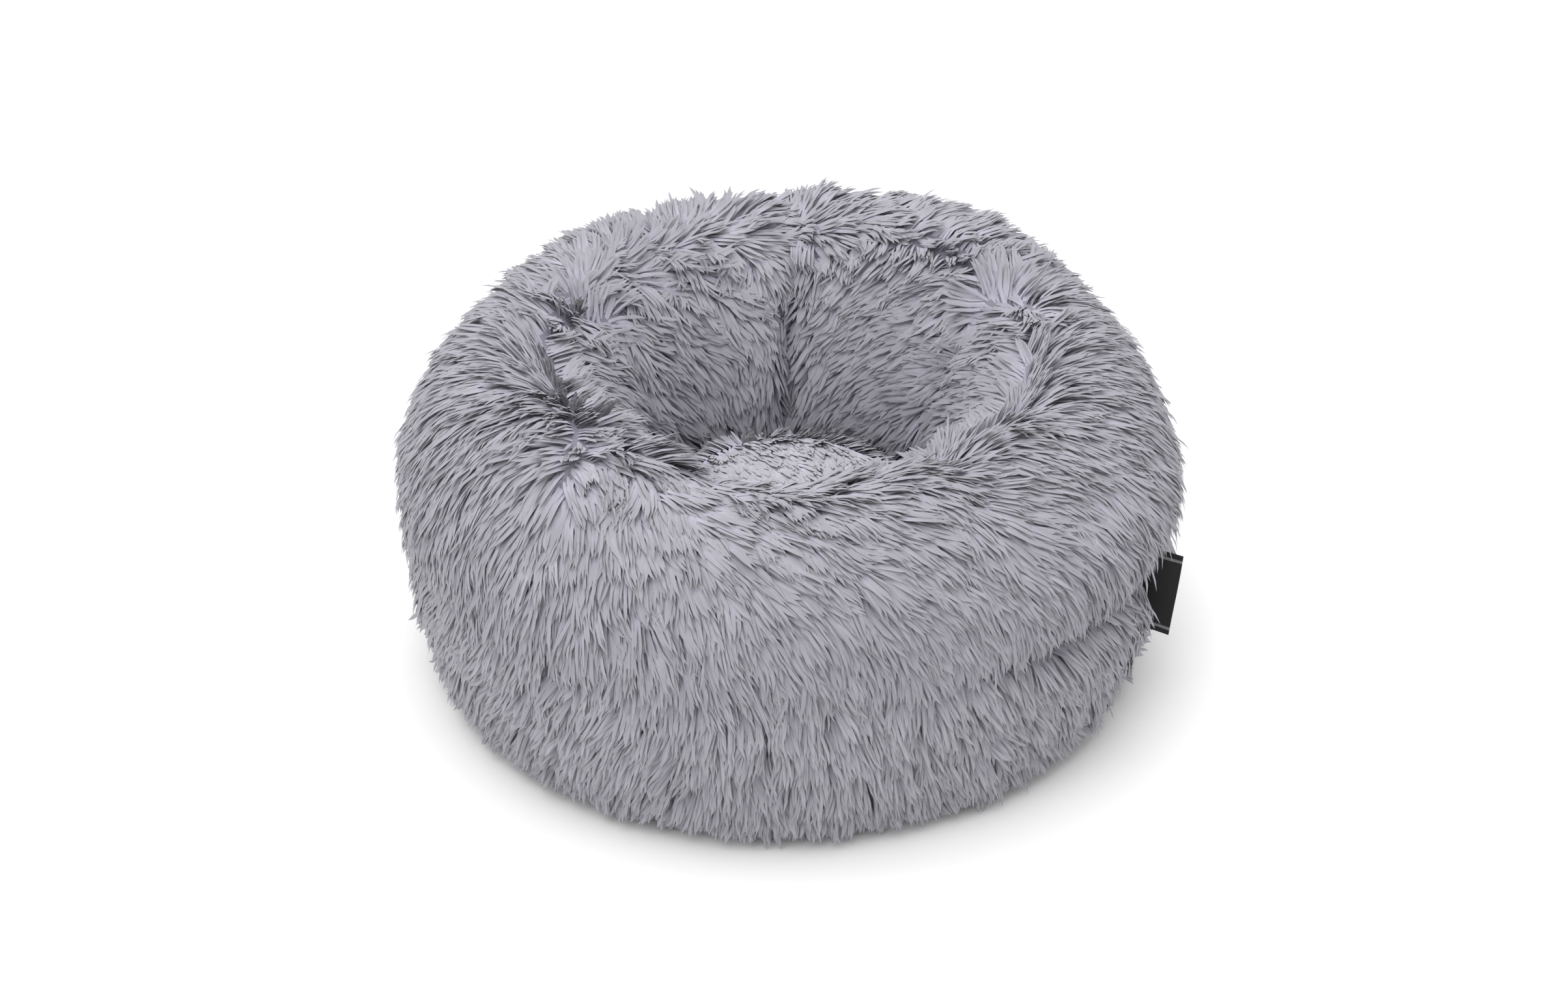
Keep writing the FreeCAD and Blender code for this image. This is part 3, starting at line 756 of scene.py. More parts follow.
def pile_group():
    """Colour of a lock: from its root's colour to its tip's along its length, each lock with its own
    tone and a few streaks. The darker root, with its lavender cast, is painted shade between the locks."""
    group, given, out = new_group(
        "Lock colour",
        [("Map", "NodeSocketVector", None), ("Root", "NodeSocketColor", None),
         ("Tip", "NodeSocketColor", None), ("Tone Spread", "NodeSocketFloat", 0.5),
         ("Root Reach", "NodeSocketFloat", 0.6)],
        [("Color", "NodeSocketColor"), ("Height", "NodeSocketFloat")])
    split = node_of(group, "ShaderNodeSeparateXYZ")
    group.links.new(given.outputs["Map"], split.inputs[0])
    tone, place = split.outputs[0], split.outputs[1]
    streaks = []
    for across, onwards in ((90.0, 2.2), (520.0, 1.1)):
        streak = node_of(group, "ShaderNodeTexNoise", noise_dimensions="2D", Detail=2.0, Scale=1.0)
        scaled = node_of(group, "ShaderNodeVectorMath", operation="MULTIPLY")
        scaled.inputs[1].default_value = (across, onwards, 1.0)
        group.links.new(given.outputs["Map"], scaled.inputs[0])
        group.links.new(scaled.outputs[0], streak.inputs["Vector"])
        streaks.append(streak.outputs[0])
    uneven = calculate(group, "MULTIPLY_ADD", streaks[0], 0.5, -0.25)
    uneven = calculate(group, "MULTIPLY_ADD", streaks[1], 0.7, calculate(group, "SUBTRACT", uneven, 0.35))
    reach = calculate(group, "DIVIDE", calculate(group, "ADD", place, uneven), given.outputs["Root Reach"])
    reach = calculate(group, "SMOOTH_MIN", reach, 1.0, 0.2)
    reach = calculate(group, "MAXIMUM", reach, 0.0)
    # The mix from root to tip paints shade between the locks at their roots.
    between = mix_colours(group, reach, given.outputs["Root"], given.outputs["Tip"])
    # The tone, which carries painted light and shade by place, scales the colour.
    spread = calculate(group, "MULTIPLY_ADD", tone, given.outputs["Tone Spread"], 1.0)
    half_spread = calculate(group, "MULTIPLY", given.outputs["Tone Spread"], 0.5)
    spread = calculate(group, "SUBTRACT", spread, half_spread)
    shaded = node_of(group, "ShaderNodeVectorMath", operation="SCALE")
    group.links.new(between, shaded.inputs[0])
    group.links.new(spread, shaded.inputs["Scale"])
    group.links.new(shaded.outputs[0], out.inputs["Color"])
    group.links.new(streaks[1], out.inputs["Height"])
    return group


def weave_group():
    """Height and shade of a plain weave laid on a map in metres: two crossed sine waves, each thread over
    and under the other by turns, with uneven threads. The shade is painted shade where the threads dip."""
    group, given, out = new_group(
        "Plain weave",
        [("Map", "NodeSocketVector", None), ("Threads", "NodeSocketFloat", 2000.0),
         ("Slub", "NodeSocketFloat", 0.2)],
        [("Height", "NodeSocketFloat"), ("Shade", "NodeSocketFloat")])
    scaled = node_of(group, "ShaderNodeVectorMath", operation="SCALE")
    group.links.new(given.outputs["Map"], scaled.inputs[0])
    group.links.new(given.outputs["Threads"], scaled.inputs["Scale"])
    split = node_of(group, "ShaderNodeSeparateXYZ")
    group.links.new(scaled.outputs[0], split.inputs[0])
    warp = calculate(group, "SINE", calculate(group, "MULTIPLY", split.outputs[0], math.pi))
    weft = calculate(group, "SINE", calculate(group, "MULTIPLY", split.outputs[1], math.pi))
    crossing = calculate(group, "MULTIPLY", warp, weft)
    thread = calculate(group, "ABSOLUTE", crossing)
    noise = node_of(group, "ShaderNodeTexNoise", noise_dimensions="2D", Scale=0.08, Detail=3.0)
    group.links.new(scaled.outputs[0], noise.inputs["Vector"])
    slub = calculate(group, "MULTIPLY", noise.outputs[0], given.outputs["Slub"])
    height = calculate(group, "ADD", calculate(group, "MULTIPLY", thread, 0.7), slub)
    height = calculate(group, "ADD", height, calculate(group, "MULTIPLY", crossing, 0.15))
    group.links.new(height, out.inputs["Height"])
    # Shade: painted shade, darker where the threads dip, plus the uneven threads.
    group.links.new(calculate(group, "ADD", calculate(group, "MULTIPLY", thread, 0.3), slub, clamp=True),
                    out.inputs["Shade"])
    return group


def new_material(name, **values):
    """A material with only a Principled BSDF whose constant values are set on its own sockets."""
    material = bpy.data.materials.new(name)
    material.use_nodes = True
    tree = material.node_tree
    tree.nodes.clear()
    shader = tree.nodes.new("ShaderNodeBsdfPrincipled")
    output = tree.nodes.new("ShaderNodeOutputMaterial")
    tree.links.new(shader.outputs[0], output.inputs[0])
    for label, value in values.items():
        shader.inputs[label.replace("_", " ")].default_value = value
    return material, tree, shader


def group_node(tree, group, **values):
    made = tree.nodes.new("ShaderNodeGroup")
    made.node_tree = group
    for label, value in values.items():
        made.inputs[label.replace("_", " ")].default_value = value
    return made


def shade_between(tree, shader, share, dark, light):
    """Base colour from dark to light by a share that changes over the surface."""
    tree.links.new(mix_colours(tree, share, dark, light), shader.inputs["Base Color"])


def raise_by(tree, shader, height, distance, strength=1.0):
    """A Bump node from a height."""
    relief = node_of(tree, "ShaderNodeBump", Distance=distance, Strength=strength)
    tree.links.new(height, relief.inputs["Height"])
    tree.links.new(relief.outputs[0], shader.inputs["Normal"])


def pile_material(name, root, tip, reach, spread):
    """Long pile: matt, with a soft sheen, dark at the root as painted shade between the locks and pale at the
    tip.
    """
    material, tree, shader = new_material(
        name, Roughness=0.85, Sheen_Weight=0.12, Sheen_Roughness=0.5, Specular_IOR_Level=0.2)
    where = node_of(tree, "ShaderNodeUVMap", uv_map="pile")
    colour = group_node(tree, GROUPS["pile"], Root=root, Tip=tip, Root_Reach=reach, Tone_Spread=spread)
    tree.links.new(where.outputs[0], colour.inputs["Map"])
    tree.links.new(colour.outputs["Color"], shader.inputs["Base Color"])
    return material


def woven_material(name, dark, light, threads, depth, slub=0.2):
    """Woven cloth or tape on the piece's own "cloth" map."""
    material, tree, shader = new_material(
        name, Roughness=0.8, Sheen_Weight=0.15, Specular_IOR_Level=0.35)
    where = node_of(tree, "ShaderNodeUVMap", uv_map="cloth")
    weave = group_node(tree, GROUPS["weave"], Threads=threads, Slub=slub)
    tree.links.new(where.outputs[0], weave.inputs["Map"])
    # The cloth darkens with the weave's painted shade where the threads dip.
    shade_between(tree, shader, weave.outputs["Shade"], dark, light)
    raise_by(tree, shader, weave.outputs["Height"], depth)
    return material


def fibre_material(name, dark, light, scale, depth, roughness=0.9):
    """Non-woven cloth, foam or fibre on Object coordinates: noise over a finer noise."""
    material, tree, shader = new_material(name, Roughness=roughness, Specular_IOR_Level=0.2)
    where = tree.nodes.new("ShaderNodeTexCoord")
    coarse = node_of(tree, "ShaderNodeTexNoise", Scale=scale, Detail=6.0, Roughness=0.7)
    fine = node_of(tree, "ShaderNodeTexVoronoi", Scale=scale * 4.0)
    tree.links.new(where.outputs["Object"], coarse.inputs["Vector"])
    tree.links.new(where.outputs["Object"], fine.inputs["Vector"])
    height = calculate(tree, "MULTIPLY_ADD", fine.outputs["Distance"], 0.5, coarse.outputs[0])
    shade_between(tree, shader, calculate(tree, "MULTIPLY", height, 0.8, clamp=True), dark, light)
    raise_by(tree, shader, height, depth)
    return material


def hard_material(name, dark, light, metallic, roughness, scale):
    """Rubber, moulded plastic or cast metal: fine grain, a little wear in colour and roughness."""
    material, tree, shader = new_material(name, Metallic=metallic)
    where = tree.nodes.new("ShaderNodeTexCoord")
    grain = node_of(tree, "ShaderNodeTexNoise", Scale=scale, Detail=5.0, Roughness=0.6)
    tree.links.new(where.outputs["Object"], grain.inputs["Vector"])
    shade_between(tree, shader, grain.outputs[0], dark, light)
    worn = calculate(tree, "MULTIPLY_ADD", grain.outputs[0], 0.3, roughness - 0.15, clamp=True)
    tree.links.new(worn, shader.inputs["Roughness"])
    raise_by(tree, shader, grain.outputs[0], 0.00005, 0.4)
    return material


def four(colour, scale=1.0):
    """A colour property as red, green, blue and alpha, scaled."""
    return (colour[0] * scale, colour[1] * scale, colour[2] * scale, 1.0)


def grey(value):
    """A plain grey as red, green, blue and alpha."""
    return (value, value, value, 1.0)


# ---- settings ------------------------------------------------------------------------------------

def length_setting(name, description, default, smallest=0.0, largest=1.0):
    return FloatProperty(name=name, description=description, default=default, min=smallest, max=largest,
                         subtype="DISTANCE", unit="LENGTH", precision=4)


def colour_setting(name, description, default):
    return FloatVectorProperty(name=name, description=description, default=default, size=3, min=0.0,
                               max=1.0, subtype="COLOR")


class BedRingSettings(bpy.types.PropertyGroup):
    gather_depth: length_setting("Gather depth", "How deep the cover is drawn in at each rim seam", 0.006)
    shoulder_nip: length_setting("Shoulder nip", "How deep the shoulder seam is drawn in", 0.008)
    wave_height: length_setting("Wave height", "Height of the slow waves of the cover", 0.0035)
    front_sag: length_setting("Front sag", "How far the front rim sags", 0.008)
    back_rise: FloatProperty(name="Back rise", description="Share of height that the back gains",
                             default=0.045)
    settle: FloatProperty(name="Settle", description="Share of height that the whole rim loses",
                          default=0.012)
    wall_sweep: FloatProperty(name="Wall sweep", description="Sideways lay of the wall's pile", default=0.75)
    front_flow: FloatProperty(name="Front flow", description="Sideways lay of the front rim", default=1.1)


class BedPileSettings(bpy.types.PropertyGroup):
    length: length_setting("Pile length", "Length of a lock on the ring", 0.030)
    cushion_length: length_setting("Cushion pile with painted light length", "Length of a lock on the seat cushion", 0.020)
    width: length_setting("Lock width", "Width of a lock where it is widest", 0.0025)
    spacing: length_setting("Spacing", "Distance between neighbouring locks", 0.0028)
    tuft_size: length_setting("Tuft size", "Distance between neighbouring tufts", 0.009)
    tuft_turn: FloatProperty(name="Tuft turn", description="How far tufts turn aside", default=0.24,
                             subtype="ANGLE", unit="ROTATION")
    lock_turn: FloatProperty(name="Lock turn", description="How far a lock turns from its tuft", default=0.14,
                             subtype="ANGLE", unit="ROTATION")
    gather_share: FloatProperty(name="Gather", description="How far tips draw to the tuft's middle",
                                default=0.5, subtype="FACTOR")
    stray_share: FloatProperty(name="Strays", description="Share of locks that stand out", default=0.02,
                               subtype="FACTOR")
    softness: FloatProperty(name="Softness", description="Share of the cover's normal in the locks' shading",
                            default=0.7, subtype="FACTOR")
    curl: FloatProperty(name="Curl", description="How far locks bend sideways", default=0.38)
    # The root colour is darker than the tip's as painted shade between the locks.
    root_colour_with_painted_shade: colour_setting("Root colour with painted shade", "Pile at its root", (0.245, 0.235, 0.285))
    tip_colour: colour_setting("Tip colour", "Pile at its tip", (0.34, 0.335, 0.37))


class BedCushionSettings(bpy.types.PropertyGroup):
    wave_height: length_setting("Wave height", "Height of the slow waves of the top", 0.002)
    lay_azimuth: FloatProperty(name="Lay", description="Azimuth that the pile lies towards, in degrees",
                               default=287.0)
    swell_cap: length_setting("Swell cap", "How far the casing may swell", 0.004)


class BedBaseSettings(bpy.types.PropertyGroup):
    cloth_colour: colour_setting("Cloth colour", "Base cloth", (0.30, 0.30, 0.32))
    dot_colour: colour_setting("Dot colour", "Anti-slip dots", (0.16, 0.16, 0.17))
    fabric_t: length_setting("Cloth thickness", "Thickness of the base cloth", 0.0012)


class BedZipSettings(bpy.types.PropertyGroup):
    tape_colour: colour_setting("Tape colour", "Zip tape", (0.34, 0.34, 0.36))
    teeth_colour: colour_setting("Teeth colour", "Zip teeth", (0.42, 0.42, 0.44))
    edge: length_setting("Edge rounding", "Rounding of the zip's parts", 0.00025)


class BedLabelSettings(bpy.types.PropertyGroup):
    colour: colour_setting("Colour", "Label satin", (0.010, 0.010, 0.011))
    border_colour: colour_setting("Border colour", "Woven border", (0.30, 0.30, 0.31))


class BedStageSettings(bpy.types.PropertyGroup):
    elevation: FloatProperty(name="Elevation", description="Camera above the horizon", subtype="ANGLE",
                             unit="ROTATION", default=math.radians(31.5))
    distance: length_setting("Distance", "Camera from the middle of the bed", 2.03, 0.5, 10.0)
    lens: FloatProperty(name="Lens", description="Focal length in millimetres", default=66.83,
                        subtype="DISTANCE_CAMERA")
    shift_x: FloatProperty(name="Shift across", description="Sideways shift of the camera's frame",
                           default=-0.0033, precision=4)
    shift_y: FloatProperty(name="Shift up", description="Upward shift of the camera's frame",
                           default=-0.001, precision=4)
    sky_strength: FloatProperty(name="Sky", description="Strength of the even light from all round",
                                default=0.82)
    target_z: length_setting("Aim height", "Height that the camera looks at", 0.1215)
    floor_half: length_setting("Floor", "Half width of the floor", 6.0, 1.0, 20.0)


# ---- pieces --------------------------------------------------------------------------------------

def under_pile(section, station, depth):
    """Depth of the cover below the pile's surface. At the ring's bottom hem it comes down to the base
    binding that it is sewn to."""
    if section is not RING:
        return depth
    return HEM_DEPTH + (depth - HEM_DEPTH) * ease(station, 0.0, WAIST_STATION)


def patch(section, first, last, start, sweep, depth, cell):
    """Grid of points between two stations and over a sweep of azimuth, cells about cell wide. Rows run
    along the section and columns round it."""
    first_along, last_along = np.interp([first, last], section.stations, section.along)
    rows = max(int((last_along - first_along) / cell), 4)
    cols = max(int(sweep * section.radii.max() / cell), 4)
    along = np.linspace(first_along, last_along, rows + 1)
    station = np.interp(along, section.along, section.stations)
    azimuth = start + sweep * np.linspace(0.0, 1.0, cols + 1)
    azimuth, station = np.meshgrid(azimuth, station)
    return section.place(azimuth, station, under_pile(section, station, depth))


def backing(name, first, last, start_degrees, sweep_degrees, nodes):
    """A panel's knitted backing as a thin sheet, stretched over the filling."""
    points = patch(RING, first, last, math.radians(start_degrees), math.radians(sweep_degrees),
                   PILE_DEPTH + 0.0005, 0.005)
    width = float(np.interp(last, RING.stations, RING.along) - np.interp(first, RING.stations, RING.along))
    long = math.radians(sweep_degrees) * float(np.hypot(points[..., 0], points[..., 1]).max())
    body = solid(surface(name, points, size=(long, width)), 0.0010)
    finish_piece(body, MATERIALS["backing"], "bed", nodes)


def ring_locks(**changes):
    """Size, angles and changes with place of the ring's locks, as pile() takes them."""
    look = bpy.context.scene.bed_pile
    size = dict(length=look.length, width=look.width, gather=1.0, depth=PILE_DEPTH, rise=0.92, settle=1.54,
                droop=0.0, long_at=ring_length, painted_light_at=ring_painted_light, mess_at=ring_mess, lean_at=ring_lean,
                soft_at=ring_softness)
    size.update(changes)
    return size


def make_rim():
    """Five long-pile panels over the top of the ring."""
    look = bpy.context.scene.bed_pile
    names = list(RIM_SEAMS)
    starts = [RIM_SEAMS[name] for name in names]
    ends = starts[1:] + [starts[0] + 360.0]
    size = ring_locks(droop=0.05, keep=clear_of_label)
    for index, (name, start, end) in enumerate(zip(names, starts, ends)):
        azimuth, station = roots(RING, 1.0, 3.0, math.radians(start), math.radians(end - start),
                                 look.spacing, index + 1)
        locks = pile("rim_pile_" + name, RING, azimuth, station, ring_lay, size, 20 + index)
        finish_piece(locks, MATERIALS["rim_pile"], "bed")
        backing("rim_backing_" + name, 1.0, 3.0, start, end - start, ["rim_panel_" + name])


def make_wall():
    """Front and back long-pile side panels, the pile of each in two pieces."""
    look = bpy.context.scene.bed_pile
    size = ring_locks(droop=0.10, keep=clear_of_label)
    for index, (panel, start) in enumerate((("back", WALL_SEAM), ("front", WALL_SEAM + 180.0))):
        for part, half in enumerate(("start", "end")):
            seed = 2 * index + part
            azimuth, station = roots(RING, 0.08, 1.0, math.radians(start + 90.0 * part), math.radians(90.0),
                                     look.spacing, 10 + seed)
            locks = pile("wall_pile_%s_%s" % (panel, half), RING, azimuth, station, ring_lay, size, 40 + seed)
            finish_piece(locks, MATERIALS["pile"], "bed")
        backing("wall_backing_" + panel, 0.0, 1.0, start, 180.0, ["wall_panel_" + panel])


def make_well():
    """Long pile inside the well and its quilted floor."""
    look = bpy.context.scene.bed_pile
    size = ring_locks(length=look.length * 0.75, rise=1.1, settle=1.5)
    azimuth, station = roots(RING, 3.0, 3.92, 0.0, 2.0 * math.pi, look.spacing * 1.35, 21)
    locks = pile("well_pile", RING, azimuth, station, ring_lay, size, 61)
    finish_piece(locks, MATERIALS["rim_pile"], "bed")
    backing("well_backing", 3.0, 4.0, 0.0, 360.0, ["inner_wall_panel"])
    make_quilt()


def make_quilt():
    """Quilted floor of the well, stitched in diamonds."""
    diamond = 0.05
    reach = THROAT_R - 0.0005
    radius = np.linspace(0.001, reach, 60)
    azimuth, radius = np.meshgrid(np.linspace(0.0, 2.0 * math.pi, 161), radius)
    x, y = radius * np.cos(azimuth), radius * np.sin(azimuth)
    quilt = np.abs(np.sin(math.pi * (x + y) / diamond) * np.sin(math.pi * (x - y) / diamond)) ** 0.4
    fade = 1.0 - ease(radius, THROAT_R - 0.010, reach)
    upper = np.stack([x, y, PAD_TOP + 0.0012 + 0.0017 * quilt * fade], -1)
    lower = np.stack([x, y, np.full_like(x, PAD_TOP + GAP)], -1)
    points = np.concatenate([lower[::-1], upper], 0)[::-1]
    body = surface("well_floor_quilt", points[:, :-1], wrap_cols=True,
                   size=(2.0 * math.pi * THROAT_R, 2.0 * THROAT_R))
    close_ends(body, points.shape[0], points.shape[1] - 1)
    finish_piece(body, MATERIALS["lining"], "bed", ["well_floor_panel"])


def close_ends(body, rows, cols):
    """Closes the first and last row of a grid wrapped round its columns with one face each."""
    shape = bmesh.new()
    shape.from_mesh(body.data)
    shape.verts.ensure_lookup_table()
    shape.faces.new([shape.verts[i] for i in range(cols)][::-1])
    shape.faces.new([shape.verts[(rows - 1) * cols + i] for i in range(cols)])
    bmesh.ops.recalc_face_normals(shape, faces=shape.faces)
    shape.to_mesh(body.data)
    shape.free()
    body.data.shade_smooth()


def closed_ring(name, depth, lump, seed, cell):
    """A stuffed ring as one closed skin: the section from the pad up, over and down the well, then flat
    back along the pad, swollen by lumps."""
    stations = np.linspace(0.12, 3.98, int(0.5 / cell))
    azimuth = np.linspace(0.0, 2.0 * math.pi, int(1.4 / cell), endpoint=False)
    azimuth, station = np.meshgrid(azimuth, stations)
    point, _, _, normal = RING.frame_at(azimuth, station, depth)
    point = point - normal * (lump * (1.0 + drift(point, 0.05, seed)) / 2.0)[..., None]
    lowest = PAD_TOP + depth - PILE + 0.0005
    point[..., 2] = np.maximum(point[..., 2], lowest)
    under = np.linspace(0.0, 1.0, 24)[1:-1, None, None]
    flat = point[-1] + under * (point[0] - point[-1])
    flat[..., 2] = lowest
    return surface(name, np.concatenate([point, flat], 0), True, True, (1.7, 0.8))


def make_bolster():
    """The non-woven bag and the fibre filling of the ring."""
    bag = closed_ring("bolster_bag", PILE, 0.0015, 31, 0.006)
    finish_piece(bag, MATERIALS["bag"], "bed", ["bolster_liner"])
    filling = closed_ring("bolster_filling", PILE + 0.002, 0.004, 32, 0.006)
    finish_piece(filling, MATERIALS["fibre"], "bed", ["bolster_fill"])


def cushion_low_section(inset):
    """Radii and heights of the seat cushion's lower half, from its seam to the middle: a quarter
    ellipse and a straight line."""
    steps = 24
    t = np.linspace(0.0, 0.5 * math.pi, steps)
    flat_r = CUSHION_R - CUSHION_ROUND
    low_z = CUSHION_LOW + inset
    radii = flat_r + (CUSHION_ROUND - inset) * np.cos(t)
    heights = CUSHION_SEAM - (CUSHION_SEAM - low_z) * np.sin(t)
    line = np.linspace(1.0, 0.02, steps)[1:]
    return np.concatenate([radii, flat_r * line]), np.concatenate([heights, np.full(len(line), low_z)])


def pillow(name, inset_top, inset_low):
    """The seat cushion as a closed skin: its top section at one depth and its lower half at another."""
    station = np.linspace(1.99, 0.02, 60)
    azimuth = np.linspace(0.0, 2.0 * math.pi, 144, endpoint=False)
    top = CUSHION.place(*np.meshgrid(azimuth, station), inset_top)
    radii, heights = cushion_low_section(inset_low)
    lower = np.stack([radii[:, None] * np.cos(azimuth), radii[:, None] * np.sin(azimuth),
                      np.broadcast_to(heights[:, None], (len(heights), len(azimuth)))], -1)
    points = np.concatenate([top, lower], 0)[::-1]
    body = surface(name, points, wrap_cols=True, size=(0.6, 0.36))
    close_ends(body, points.shape[0], points.shape[1])
    return body


def inflate(body, cap):
    """Fills a closed skin with air: an even remesh, twenty frames of cloth under pressure with no
    gravity, and then no point further than cap from where it began."""
    remesh = body.modifiers.new("even cloth", "REMESH")
    remesh.mode = "VOXEL"
    remesh.voxel_size = 0.005
    apply_modifiers(body)
    before = read_points(body)
    cloth = body.modifiers.new("air", "CLOTH")
    cloth.settings.use_pressure = True
    cloth.settings.uniform_pressure_force = 4.0
    cloth.settings.quality = 5
    cloth.settings.effector_weights.gravity = 0.0
    for step in range(1, 21):
        bpy.context.scene.frame_set(step)
    apply_modifiers(body)
    bpy.context.scene.frame_set(1)
    move = read_points(body) - before
    far = np.linalg.norm(move, axis=1, keepdims=True)
    write_points(body, before + move * np.minimum(1.0, cap / np.maximum(far, 1e-9)))


def pucker(body):
    """Draws the casing in along its seam, in small puckers, and holds it inside its frame solid."""
    cap = bpy.context.scene.bed_cushion.swell_cap
    points = read_points(body)
    radius = np.hypot(points[:, 0], points[:, 1])
    azimuth = np.arctan2(points[:, 1], points[:, 0])
    near = bump(points[:, 2], CUSHION_SEAM, 0.004)
    out = -0.0022 * near - 0.0012 * bump(points[:, 2], CUSHION_SEAM, 0.014) * np.sin(46.0 * azimuth)
    wanted = np.minimum(radius + out, CUSHION_R - GAP)
    points[:, :2] *= (wanted / np.maximum(radius, 1e-6))[:, None]
    points[:, 2] = np.maximum(points[:, 2], CUSHION_LOW - 0.1 * cap)
    write_points(body, points)
    body.data.shade_smooth()


def make_cushion():
    """The loose seat cushion: long pile on top, a smooth casing under it and a fibre filling."""
    look = bpy.context.scene.bed_pile
    # The cushion's locks are a little paler all over, painted light for the shaded well.
    size = dict(length=look.cushion_length, width=look.width * 1.15, gather=0.25, depth=CUSHION_DEPTH,
                rise=1.36, settle=1.56, droop=0.0, long_at=cushion_length, painted_light_at=everywhere(0.1),
                mess_at=everywhere(0.5), lean_at=everywhere(0.0), soft_at=everywhere(0.18))
    azimuth, station = roots(CUSHION, 0.04, 1.97, 0.0, 2.0 * math.pi, look.spacing * 0.9, 31)
    locks = pile("cushion_pile", CUSHION, azimuth, station, cushion_lay, size, 71)
    finish_piece(locks, MATERIALS["cushion_pile"], "seat_cushion", ["cushion_top_panel"])
    casing = pillow("cushion_casing", CUSHION_DEPTH + 0.003, 0.002)
    inflate(casing, bpy.context.scene.bed_cushion.swell_cap)
    pucker(casing)
    finish_piece(casing, MATERIALS["casing"], "seat_cushion", ["cushion_base_panel"])
    filling = pillow("cushion_filling", PILE_DEPTH + 0.008, 0.006)
    finish_piece(filling, MATERIALS["fibre"], "seat_cushion", ["cushion_fill"])


def lift_to_floor(body, floor):
    """Applies the body's modifiers and raises any point that reaches below floor up to it."""
    apply_modifiers(body)
    points = read_points(body)
    points[:, 2] = np.maximum(points[:, 2], floor)
    write_points(body, points)


def half_base(name, side):
    """One half of the base cloth. Columns run along X; rows climb down the slot's hem and then run out
    to the binding, with slow ripples of under a millimetre."""
    reach = BINDING_IN + 0.0015
    inner = np.linspace(-SLOT_HALF, SLOT_HALF, 96)
    outer = np.linspace(SLOT_HALF + GAP, reach - 0.0006, 8)
    x = np.concatenate([-outer[::-1], inner, outer])
    edge = np.where(np.abs(x) <= SLOT_HALF, SLOT_HALF_W, GAP)
    rim = np.sqrt(np.maximum(reach ** 2 - x ** 2, 0.0))
    edge = np.minimum(edge, rim)
    hem = np.where(np.abs(x) <= SLOT_HALF, 1.0, 0.0)
    share = np.linspace(0.0, 1.0, 60)[:, None]
    y = edge + (rim - edge) * share
    ripple = 0.00035 * (1.0 + drift(np.stack(np.broadcast_arrays(x, y, 0.0 * y), -1), 0.06, 51 + side))
    z = GAP + ripple * ease(share, 0.0, 0.1) * (1.0 - ease(share, 0.93, 1.0))
    sheet = np.stack(np.broadcast_arrays(x, y, z), -1)
    climb = np.linspace(1.0, 0.0, 6)[:-1, None]
    hem_z = GAP + hem * climb * (TAPE_LOW - 2.0 * GAP)
    hem_part = np.stack(np.broadcast_arrays(x, edge + 0.0 * climb, hem_z), -1)
    points = np.concatenate([hem_part, sheet], 0)
    points[..., 1] *= side
    if side < 0:
        points = points[:, ::-1]
    body = surface(name, points[:, ::-1], size=(2.0 * reach, reach))
    return body, area_of(points), reach


def make_base():
    """Base cloth in two halves with a hemmed zip slot, its binding, anti-slip dots and the foam pad."""
    settings = bpy.context.scene.bed_base
    binding = make_binding()
    dots = make_dots()
    for name, side, extra in (("front", -1, [binding]), ("back", 1, [dots])):
        body, area, reach = half_base("base_cloth_" + name, side)
        solid(body, settings.fabric_t)
        lift_to_floor(body, 0.0001)
        finish_piece(body, MATERIALS["base_cloth"], "bed", ["base_panel_" + name])
    make_pad()


def make_binding():
    """Woven tape sewn round the base: a flat oval section with a stitched edge, turned about Z."""
    t = np.linspace(0.0, 2.0 * math.pi, 24, endpoint=False)
    half_w, half_t = (EDGE_R - BINDING_IN) / 2.0, BINDING_T / 2.0
    azimuth = np.linspace(0.0, 2.0 * math.pi, 480, endpoint=False)
    flat = np.sign(np.cos(t)) * np.abs(np.cos(t)) ** 0.5
    thick = np.sign(np.sin(t)) * np.abs(np.sin(t)) ** 0.8
    stitch = 0.0003 * bump(np.abs(flat), 0.55, 0.12)[None, :] * (0.6 + 0.4 * np.sin(azimuth * 330.0))[:, None]
    radius = (EDGE_R + BINDING_IN) / 2.0 + half_w * flat[None, :] + 0.0 * azimuth[:, None]
    height = half_t + (half_t - stitch) * thick[None, :]
    points = np.stack([radius * np.cos(azimuth)[:, None], radius * np.sin(azimuth)[:, None], height], -1)
    body = surface("base_binding_tape", points, True, True, (0.018, 1.357))
    return finish_piece(body, MATERIALS["binding"], "bed", ["base_binding"])


